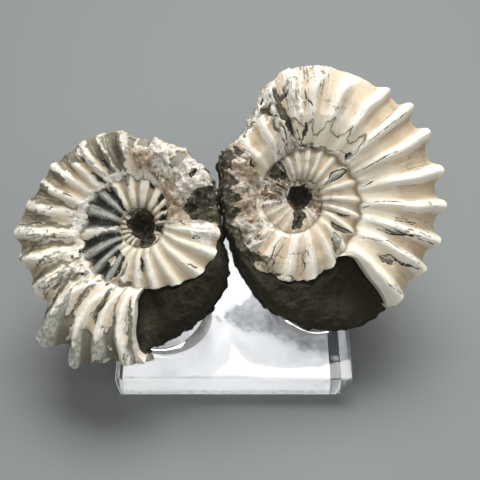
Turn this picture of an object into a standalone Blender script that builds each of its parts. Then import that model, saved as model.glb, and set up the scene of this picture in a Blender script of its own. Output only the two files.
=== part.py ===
"""Two pleuroceras ammonites leaning back on clear risers on one clear block.

Each fossil is one closed skin, laid out on a spiral. Its long direction is counted in degrees
back from the shell's mouth. Its cross direction runs from the rim in to the seam with the next
inner turn, whose rim is that same seam. Negative angles are the stone that goes on past the mouth.
"""

import math

import bmesh
import bpy
import numpy as np
from mathutils import Matrix, Vector

MM = 0.001
GAP = 0.3

# The block, in millimetres
BASE_WIDTH = 50.0
BASE_DEPTH = 45.0
BASE_HEIGHT = 6.5
BASE_BOTTOM_LEFT = -23.9
BASE_BOTTOM_RIGHT = 22.6
BASE_BOTTOM_INSET = 1.5
BASE_EDGE = 0.25

# The risers
RISER_RADIUS = 10.0
RISER_SIDES = 48
RISER_EDGE = 0.25

# How a fossil's skin is divided
TURNS = 3
FRONT_LINES = 4
BACK_LINES = 3
STEPS_PER_RIB = 3
STONE_STEP = 6.0
MOUTH_STEP = 0.8

# The shape of a turn's cross-section, as shares of its height and radius
RIM_HEIGHT = 0.62
COVERED_RIM_HEIGHT = 0.80
COVER_START = 0.0
COVER_END = 60.0
FLANK_RISE = 0.35
FLANK_FALL = 0.60
FURROW_DEPTH = 0.035
KEEL_DEPTH = 0.010
BACK_THICKNESS = 0.93

# Ribs
RIB_SPACING = 13.3
RIB_HEIGHT = 0.040
RIB_TIP = 0.045
RIB_INNER_SHARE = 0.35

# Stone left in the hollow of the hidden side
FILL_HEIGHT = 3.4
FILL_RADIUS = 11.0

LEFT = {
    "name": "left_ammonite",
    "centre": (-18.80, 0.47, 28.60),
    "lean": 36.2,
    "turn": -17.0,
    "roll": 13.9,
    "grows": 1,
    "mouth": 268.0,
    "stone_end": -92.0,
    "riser": (-14.8, -6.55),
    "seat": -7.1,
    # Degrees back from the mouth, radius
    "radius": [
        (-92, 15.6), (-77, 17.2), (-67, 19.4), (-57, 20.7), (-32, 22.3), (-17, 23.3), (-1, 25.4),
        (0, 27.6), (13, 27.0), (20, 28.4), (40, 28.6), (46, 27.4), (51, 25.6), (70, 24.6),
        (80, 25.3), (92, 25.0), (99, 24.0), (108, 22.7), (123, 22.3), (137, 21.4), (157, 20.6),
        (167, 19.8), (177, 18.2), (208, 17.9), (234, 17.2), (268, 15.6), (290, 15.8), (312, 14.9),
        (326, 13.5), (345, 12.6), (360, 12.1), (407, 12.5), (428, 12.2), (448, 11.4), (478, 10.7),
        (519, 10.1), (540, 9.5), (572, 8.0), (603, 6.0), (628, 4.9), (718, 4.4), (808, 4.3),
        (898, 4.0), (988, 2.7),
    ],
    # Degrees back from the mouth, half thickness
    "height": [
        (-92, 4.0), (-60, 4.0), (-25, 3.4), (-1, 2.6), (0, 6.9), (90, 6.2), (178, 5.0), (268, 4.0),
        (360, 3.4), (540, 2.6), (720, 1.6), (988, 0.9),
    ],
    "crests": [2, 12, 24, 36, 46, 57, 69, 83, 98, 111, 122, 133, 145],
    # Degrees back, share of the way in from the rim, change of height, half length, half width
    "marks": [
        (-12, 0.70, -1.6, 10, 0.30),
        (158, 0.30, -0.9, 6, 0.40),
        (250, 0.45, -1.5, 12, 0.40),
        (228, 0.60, 0.8, 12, 0.30),
    ],
}

RIGHT = {
    "name": "right_ammonite",
    "centre": (13.50, 6.35, 31.20),
    "lean": 37.7,
    "turn": 19.8,
    "roll": -15.9,
    "grows": -1,
    "mouth": 309.0,
    "stone_end": -99.0,
    "riser": (16.9, -1.6),
    "seat": -7.4,
    "radius": [
        (-99, 16.9), (-89, 17.6), (-80, 19.3), (-60, 22.6), (-48, 24.8), (-38, 26.2), (-29, 27.7),
        (-16, 29.0), (-1, 29.4), (0, 29.4), (60, 29.6), (103, 29.2), (110, 29.0), (120, 28.4),
        (130, 28.2), (140, 27.0), (151, 25.4), (156, 24.2), (161, 21.8), (166, 20.2), (171, 18.5),
        (181, 17.0), (202, 16.4), (212, 15.6), (232, 15.3), (252, 16.2), (261, 16.9), (299, 16.7),
        (319, 16.2), (329, 15.6), (339, 14.8), (348, 14.0), (360, 13.2), (381, 12.6), (411, 11.7),
        (442, 11.0), (472, 10.3), (503, 9.4), (525, 8.7), (612, 8.6), (658, 8.1), (707, 6.1),
        (769, 4.2), (830, 3.9), (981, 2.9),
    ],
    "height": [
        (-99, 4.4), (-70, 4.4), (-30, 3.6), (-1, 2.6), (0, 7.2), (90, 6.8), (180, 5.4), (261, 4.4),
        (360, 3.7), (540, 2.8), (720, 1.8), (981, 1.0),
    ],
    "crests": [8, 21, 33, 48, 64, 78, 91, 103, 116, 129, 142],
    "marks": [
        (-14, 0.60, -1.8, 12, 0.30),
        (156, 0.25, -1.0, 5, 0.35),
        (-70, 0.40, 0.6, 12, 0.30),
    ],
}


def clear_scene():
    for thing in list(bpy.data.objects):
        bpy.data.objects.remove(thing, do_unlink=True)


def make_collection(name):
    group = bpy.data.collections.new(name)
    bpy.context.scene.collection.children.link(group)
    return group


def make_material(name, colour, roughness, clear=False):
    material = bpy.data.materials.new(name)
    material.use_nodes = True
    shader = material.node_tree.nodes["Principled BSDF"]
    shader.inputs["Base Color"].default_value = (*colour, 1.0)
    shader.inputs["Roughness"].default_value = roughness
    shader.inputs["Metallic"].default_value = 0.0
    if clear:
        shader.inputs["Transmission Weight"].default_value = 1.0
        shader.inputs["IOR"].default_value = 1.49
    return material


def add_object(name, mesh, material, group):
    piece = bpy.data.objects.new(name, mesh)
    mesh.materials.append(material)
    group.objects.link(piece)
    return piece


def add_bevel(piece, width):
    bevel = piece.modifiers.new("rounded edges", "BEVEL")
    bevel.width = width * MM
    bevel.segments = 1
    bevel.limit_method = "ANGLE"
    bevel.angle_limit = math.radians(30)


def lookup(table, degrees):
    places, values = np.array(table, dtype=float).T
    return float(np.interp(degrees, places, values))


def rib_wave(fossil, degrees):
    """One at a rib's crest, zero in the middle of a furrow, zero on the stone."""
    if degrees < 0:
        return 0.0
    crests = fossil["crests"]
    if degrees < crests[-1]:
        phase = float(np.interp(degrees, crests, range(len(crests))))
    else:
        phase = (degrees - crests[-1]) / RIB_SPACING
    return (0.5 + 0.5 * math.cos(2 * math.pi * phase)) ** 1.4


def stations(fossil):
    """The angles back from the mouth, for one turn, that the cross-sections stand at."""
    end = fossil["stone_end"]
    stone = np.linspace(end, -MOUTH_STEP, round((-MOUTH_STEP - end) / STONE_STEP) + 1)
    crests = [-fossil["crests"][0]] + fossil["crests"]
    last = end + 360
    while crests[-1] < last:
        crests.append(crests[-1] + RIB_SPACING)
    count = STEPS_PER_RIB * (len(crests) - 1)
    shell = np.interp(np.arange(count) / STEPS_PER_RIB, range(len(crests)), crests)
    shell = [angle for angle in shell if 1.0 < angle < last - 1.5]
    return list(stone) + [0.0] + shell


def seam_height(fossil, degrees):
    first_covered = fossil["stone_end"] + 360
    blend = (degrees - first_covered - COVER_START) / (COVER_END - COVER_START)
    blend = min(max(blend, 0.0), 1.0)
    share = RIM_HEIGHT + (COVERED_RIM_HEIGHT - RIM_HEIGHT) * blend
    return lookup(fossil["height"], degrees) * share


def mark_height(fossil, degrees, inward):
    total = 0.0
    for place, share, change, half_length, half_width in fossil["marks"]:
        along = (degrees - place) / half_length
        across = (inward - share) / half_width
        total += change * math.exp(-along * along - across * across)
    return total


def flank_point(fossil, degrees, inward):
    """Radius and height over the middle plane, from the rim (0) in to the seam (1)."""
    rim = lookup(fossil["radius"], degrees)
    seam = lookup(fossil["radius"], degrees + 360)
    top = lookup(fossil["height"], degrees)
    rim_height = seam_height(fossil, degrees)
    inner_height = seam_height(fossil, degrees + 360)
    wave = rib_wave(fossil, degrees)
    radius = rim + (seam - rim) * inward
    if inward < FLANK_RISE:
        height = rim_height + (top - rim_height) * math.sin(0.5 * math.pi * inward / FLANK_RISE)
    else:
        fall = max(0.0, (inward - FLANK_FALL) / (1 - FLANK_FALL))
        height = inner_height + (top - inner_height) * math.sqrt(max(0.0, 1 - fall * fall))
    fade = (1 - inward) ** 0.5 * (1 - RIB_INNER_SHARE * inward)
    width_share = min(1.0, (rim - seam) / 3.0)
    height += RIB_HEIGHT * rim * (wave - 0.3) * fade * width_share
    radius += RIB_TIP * rim * wave * (1 - inward) ** 6 * width_share
    height += mark_height(fossil, degrees, inward) * (1 - abs(2 * inward - 1) ** 4) * width_share
    return radius, height


def back_point(fossil, degrees, inward):
    radius, height = flank_point(fossil, degrees, inward)
    height *= BACK_THICKNESS
    if radius < FILL_RADIUS:
        fill = FILL_HEIGHT * (1 - 0.3 * (radius / FILL_RADIUS) ** 2)
        height = max(height, fill)
    return radius, -height


def rim_points(fossil, degrees):
    """The furrow, the keel and the other furrow, between the two flanks' rims."""
    rim, height = flank_point(fossil, degrees, 0.0)
    furrow = rim * (1 - FURROW_DEPTH)
    keel = rim * (1 - KEEL_DEPTH)
    half = 0.45 * height
    return [(furrow, half), (keel, 0.0), (furrow, -half * BACK_THICKNESS)]


def section(fossil, degrees):
    """All points of one half cross-section, from the front centre's ring to the back's."""
    front = []
    for line in range(TURNS * FRONT_LINES, -1, -1):
        turn, part = divmod(line, FRONT_LINES)
        if turn == TURNS:
            front.append(flank_point(fossil, degrees + 360 * (turn - 1), 1.0))
        else:
            front.append(flank_point(fossil, degrees + 360 * turn, part / FRONT_LINES))
    back = []
    for line in range(TURNS * BACK_LINES + 1):
        turn, part = divmod(line, BACK_LINES)
        if turn == TURNS:
            back.append(back_point(fossil, degrees + 360 * (turn - 1), 1.0))
        else:
            back.append(back_point(fossil, degrees + 360 * turn, part / BACK_LINES))
    return front + rim_points(fossil, degrees) + back


def shifted_line(line):
    """The line of the first section that a line of the last section runs into.

    After one full turn a turn's lines become those of the next inner turn.
    """
    front_last = TURNS * FRONT_LINES
    back_first = front_last + 4
    back_last = back_first + TURNS * BACK_LINES
    if line <= front_last:
        return max(line - FRONT_LINES, 0)
    if line >= back_first:
        return min(line + BACK_LINES, back_last)
    return line


def rim_line(line):
    """The line that stands for this one in the first section, whose outer turn has no width."""
    front_last = TURNS * FRONT_LINES
    back_first = front_last + 4
    if front_last - FRONT_LINES < line <= front_last:
        return front_last - FRONT_LINES
    if back_first <= line < back_first + BACK_LINES:
        return back_first + BACK_LINES
    return line


def build_fossil(fossil, material, group):
    angles = stations(fossil)
    shape = bmesh.new()
    rows = []
    for degrees in angles:
        heading = math.radians(fossil["mouth"] + fossil["roll"] - fossil["grows"] * degrees)
        row = []
        for radius, height in section(fossil, degrees):
            place = (radius * math.cos(heading), radius * math.sin(heading), height)
            row.append(shape.verts.new(Vector(place) * MM))
        rows.append(row)
    lines = len(rows[0])
    first = [rows[0][rim_line(line)] for line in range(lines)]
    closing = [first[shifted_line(line)] for line in range(lines)]
    for row, following in zip([first] + rows[1:], rows[1:] + [closing]):
        for line in range(lines - 1):
            corners = [row[line], row[line + 1], following[line + 1], following[line]]
            corners = list(dict.fromkeys(corners))
            if len(corners) > 2:
                shape.faces.new(corners)
    for end in (0, lines - 1):
        heights = [row[end].co.z for row in rows]
        centre = shape.verts.new((0, 0, sum(heights) / len(heights)))
        ring = [row[end] for row in [first] + rows[1:]]
        for one, other in zip(ring, ring[1:] + ring[:1]):
            shape.faces.new((centre, one, other))
    loose = [vert for vert in shape.verts if not vert.link_faces]
    bmesh.ops.delete(shape, geom=loose, context="VERTS")
    bmesh.ops.recalc_face_normals(shape, faces=shape.faces)
    mesh = bpy.data.meshes.new(fossil["name"])
    shape.to_mesh(mesh)
    shape.free()
    piece = add_object(fossil["name"], mesh, material, group)
    piece.location = Vector(fossil["centre"]) * MM
    piece.rotation_euler = (math.radians(fossil["lean"]), 0, math.radians(fossil["turn"]))
    return piece


def build_base(material, group):
    shape = bmesh.new()
    bmesh.ops.create_cube(shape, size=1.0)
    for vert in shape.verts:
        side, away, up = vert.co
        if up > 0:
            vert.co = (side * BASE_WIDTH, away * BASE_DEPTH, BASE_HEIGHT)
        else:
            end = BASE_BOTTOM_LEFT if side < 0 else BASE_BOTTOM_RIGHT
            vert.co = (end, away * (BASE_DEPTH - 2 * BASE_BOTTOM_INSET), 0)
        vert.co *= MM
    mesh = bpy.data.meshes.new("stand_base")
    shape.to_mesh(mesh)
    shape.free()
    piece = add_object("stand_base", mesh, material, group)
    add_bevel(piece, BASE_EDGE)


def build_riser(name, fossil, material, group):
    """A cylinder cut off parallel to the fossil's back, just short of it."""
    floor = BASE_HEIGHT + GAP
    tall = 40.0
    shape = bmesh.new()
    place = Matrix.Translation((*fossil["riser"], floor + tall / 2))
    bmesh.ops.create_cone(shape, cap_ends=True, segments=RISER_SIDES, radius1=RISER_RADIUS,
                          radius2=RISER_RADIUS, depth=tall, matrix=place)
    lean = Matrix.Rotation(math.radians(fossil["turn"]), 4, "Z")
    lean = lean @ Matrix.Rotation(math.radians(fossil["lean"]), 4, "X")
    normal = lean @ Vector((0, 0, 1))
    seat = Vector(fossil["centre"]) + normal * fossil["seat"]
    cut = bmesh.ops.bisect_plane(shape, geom=shape.verts[:] + shape.edges[:] + shape.faces[:],
                                 plane_co=seat, plane_no=normal, clear_outer=True)
    edges = [item for item in cut["geom_cut"] if isinstance(item, bmesh.types.BMEdge)]
    bmesh.ops.contextual_create(shape, geom=edges)
    bmesh.ops.scale(shape, vec=(MM, MM, MM), verts=shape.verts)
    bmesh.ops.recalc_face_normals(shape, faces=shape.faces)
    mesh = bpy.data.meshes.new(name)
    shape.to_mesh(mesh)
    shape.free()
    piece = add_object(name, mesh, material, group)
    add_bevel(piece, RISER_EDGE)


def main():
    clear_scene()
    parts = make_collection("pleuroceras_display")
    clear = make_material("clear_acrylic", (0.96, 0.97, 0.97), 0.03, clear=True)
    left_shell = make_material("left_shell", (0.62, 0.56, 0.46), 0.55)
    right_shell = make_material("right_shell", (0.72, 0.66, 0.55), 0.55)
    build_base(clear, parts)
    build_riser("left_riser", LEFT, clear, parts)
    build_riser("right_riser", RIGHT, clear, parts)
    build_fossil(LEFT, left_shell, parts)
    build_fossil(RIGHT, right_shell, parts)


main()
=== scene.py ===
"""Two pleuroceras ammonites, leaning back on clear risers on a clear block.

A place on a fossil is a pair of numbers. The first is degrees back from the shell's mouth, and
goes on growing over the inner turns; below zero it is the stone past the mouth. The second is
the share of the way in, from the turn's rim (0) to its seam with the next inner turn (1).
Lengths in the tables are millimetres. Sizes in the settings are metres.
"""

import math

import bpy
import numpy as np
from bpy.props import EnumProperty, FloatProperty, FloatVectorProperty, PointerProperty
from mathutils import Matrix, Vector, noise


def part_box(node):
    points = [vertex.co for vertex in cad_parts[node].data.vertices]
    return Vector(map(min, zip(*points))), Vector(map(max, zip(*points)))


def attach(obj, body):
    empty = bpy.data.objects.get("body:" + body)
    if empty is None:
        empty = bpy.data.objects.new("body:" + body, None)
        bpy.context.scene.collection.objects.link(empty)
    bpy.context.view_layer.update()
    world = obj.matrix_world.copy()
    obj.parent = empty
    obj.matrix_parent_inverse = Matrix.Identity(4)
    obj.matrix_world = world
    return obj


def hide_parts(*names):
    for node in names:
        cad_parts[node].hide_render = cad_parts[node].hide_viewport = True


bl_info = {
    "name": "Pleuroceras display",
    "version": (1, 0, 0),
    "blender": (4, 5, 0),
    "location": "3D View > Sidebar > Ammonites",
    "description": "Two ammonites leaning back on clear risers on a clear block",
    "category": "Add Mesh",
}

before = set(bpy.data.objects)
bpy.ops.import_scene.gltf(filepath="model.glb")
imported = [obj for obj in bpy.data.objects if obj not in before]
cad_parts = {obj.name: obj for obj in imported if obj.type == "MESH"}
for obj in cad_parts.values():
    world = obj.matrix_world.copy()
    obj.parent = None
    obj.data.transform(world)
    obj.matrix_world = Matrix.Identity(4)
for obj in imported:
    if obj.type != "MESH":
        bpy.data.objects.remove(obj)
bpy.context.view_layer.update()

MM = 0.001

# How finely a fossil's skin is divided
STATIONS = 600
TURNS = 3
FRONT_LINES = 48
BACK_LINES = 28
SIDE_LINES = 12
PIT_LINES = 10

# Corners closer than this many millimetres merge, and edges up to this many degrees look smooth
MERGE = 0.0001
SMOOTH_ANGLE = 55

# Degrees over which the corners of the tables are rounded
RADIUS_ROUNDING = 0.8
STONE_ROUNDING = 2
HEIGHT_ROUNDING = 4

# A turn's cross-section, in shares of its width or height
RIM_SHARE = 0.62
COVERED_RIM_SHARE = 0.80
FLANK_RISE = 0.35
STEP_SHARE = 0.16
STEP_SQUARENESS = 16
RIB_BASE = 0.3
SWEEP_START = 0.6
CREST_BLEND = 0.4
RIM_SMOOTH_WIDTH = 0.3
SEAM_FADE = 0.35
KNOB_FULLNESS = 1.35
KNOB_FADE = 6
BACK_THICKNESS = 0.93

# Degrees over which a covered rim rises, and the width of a turn that has its full height
COVER_DEGREES = 60.0
FULL_WIDTH = 3.0

# How far in the ribs' crests go on, in degrees
LAST_CREST = 1100.0

# The groove between the stone and the next inner turn: its place, its width and its depth
GUTTER = (0.93, 0.06, 1.0)

# The side of a rim. Its places run from zero to minus this share, and the radius at each share
# of the way down to the keel is a share of the rim's.
SIDE_SHARE = 0.30
SIDE_DOWN = (0, 0.2, 0.45, 0.65, 0.8, 1.0)
SIDE_OUT = (1.0, 0.985, 0.966, 0.966, 0.985, 0.995)
STONE_BULGE = 0.012
KNOB_FOOT = 0.55
BEAD_HEIGHT = 0.12
BEAD_SPACING = 13 / 3
BEAD_TOP = 0.75

# The lip: how far its shape reaches, the degrees of its last stations, which fold under, and
# how far the fold goes down and in
LIP_DEGREES = 30.0
LIP_FOLD = (0.25, -0.08, 0.0)
LIP_DROP = 0.5
LIP_DRAW = 0.3

# The pit in the middle of a front, and the stone that fills the middle of a back
PIT_DEPTH = 2.2
PIT_LUMPS = 0.35
FILL_HEIGHT = 3.4
FILL_RADIUS = 11.0
FILL_DOME = 0.3

# How far the edges of patches wander, the share of it that cracks do, and the least radius or
# width that it is measured at
PATCH_WANDER = 0.45
PATCH_JITTER = 0.2
CRACK_WANDER = 0.3
LEAST_REACH = 2.0

# A patch is measured this many degrees round it, and a break's edge is this wide
PATCH_MARGIN = 8
BREAK_EDGE = 0.3

# Heights of the bumps on rough places, and depths of breaks
LUMP_HEIGHT = 0.10
ROUGHNESS = {
    "grainy": {"medium": 0.30, "fine": 0.20, "facets": 0.30},
    "flaky": {"fine": 0.20, "facets": 0.20},
    "crumbled": {"medium": 0.30, "fine": 0.30},
    "stone": {"coarse": 0.30, "medium": 0.22, "fine": 0.10},
    "ragged": {"coarse": 1.0, "fine": 0.5, "facets": 1.2},
}
FLAKE_SHARE = 1.5
CRACK_DEPTH = 0.15
LOWER_DEPTH = 0.25

# The share of a turn's width that is torn at its edges, and the last degree with a torn seam
TORN_SHARE = 0.15
TORN_DEGREES = 400

# Lines of the grid to each side that a hollow is compared with, for the painted shade in
# hollows and the painted highlight on ridges, degrees to one unit of the growth map, and how
# much paler the furrows are painted near the outer turn's seam
CAVITY_REACH = 6
GROWTH_DEGREES = 10
SEAM_SHADE = 0.6

# The grains of the fossils' materials, to a metre, and the way they are stretched in the map
BROAD_GRAIN = 160.0
SMALL_GRAIN = 900.0
SPECK_GRAIN = 2200.0
FINE_GRAIN = 3000.0
ALONG_RIBS = (14.0, 1.6, 1.0)
ALONG_COIL = (0.7, 5.0, 1.0)

# Heights of bumps in the fossils' materials, in metres
BREAK_BUMP = 0.00030
GRIT_BUMP = 0.00040
GRAIN_BUMP = 0.00038

# The left, right and front edges of the block's underside, the left, right, front and back
# edges of the white film on it, and the least area of the face that it is cut into
BLOCK_BOTTOM = (-24.5, 22.7, -22.3)
FILM = (-23.7, 20.3, -21.6, 21.6)
WIDE_FACE = 0.001

# The block's and the risers' finish
EDGE_SEGMENTS = 3
RISER_SIDES = 128
ACRYLIC_IOR = 1.49
BLOCK_FROSTING = 0.06
RISER_FROSTING = 0.07

# The film's painted shadow and its darker front strip, measured in millimetres along these
# directions, and the colours of the shadow, the grey blotches and the strip
SHADOW_DIRECTION = (430.0, 1000.0, 0.0)
STRIP_DIRECTION = (0.0, 1000.0, 0.0)
FILM_SHADOW = (0.42, 0.43, 0.45)
FILM_BLOTCH = (0.24, 0.25, 0.27)
STRIP_DARK = (0.26, 0.27, 0.25)
STRIP_PALE = (0.80, 0.82, 0.80)

# Lights, floor and camera, in metres and degrees
KEY_SIZE = (0.50, 0.36)
KEY_PLACE = (0.04, 0.30, 0.52)
FRONT_SIZE = (0.60, 0.40)
FRONT_PLACE = (0.06, -0.34, 0.52)
FRONT_SHARE = 0.40
LIGHT_TARGET = (0, 0, 0.02)
FLOOR_RADIUS = 3.0
FLOOR_GAP = 0.00005
CAMERA_PLACE = (0.0012, -0.1209, 0.1692)
CAMERA_TILT = 40
CAMERA_LENS = 67.5

# What is known of a fossil. The rows of most tables are degrees back and a value there.
# centre: its middle. lean: degrees up from lying flat. turn: degrees round the upright.
# heading: where the mouth lies in the fossil's own plane, in degrees. grows: one where it coils
# counter-clockwise, minus one where clockwise. stone_end: where the stone past the mouth ends.
# shell_radius, stone_radius: the rim. shell_height, stone_height: half the thickness.
# middle_crests, rim_crests: the ribs' crests at mid flank and at the rim of the outer turn.
# inner_crests: the crests further in, the same at both.
# rib_strength: share of a full rib. sharpness: how narrow a crest is.
# sweep: how many degrees a rib runs forward where it nears the seam.
# knob: how far a rib juts out at the rim, as a share of the radius.
# rim_smooth: one where ribs are worn off at the rim. ragged: how far a rim is torn.
# wear: how stained and cracked the shell is, and how strong the painted shade in its hollows.
# shade: how dark its furrows are, partly staining and partly painted shade; past the mouth, how
# pale the stone is, darkest near the lip partly as painted shade.
# crumbs: one where the turn has crumbled. pit_edge: radius of the dark pit.
# fall: the share of the way in where the flank starts to fall to the seam.
# slope: one where that fall is an even slope with a low step at its foot.
# lip: the share of the way in, and the degrees by which the lip lies further forward there.
# relief: degrees back, share of the way in, change of height, half length, half width.
# areas: outlines of patches by kind. strokes: half their width and their points, by kind. A
# minus before the kind takes them out of it. back_areas: broken places on the hidden side,
# beside those of the other fossil.
# The kinds are bare and dark stone, brown hollows, brown grainy matrix, pale crust, white
# flakes, the lower layer of the shell, broad furrows and cracks.

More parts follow.
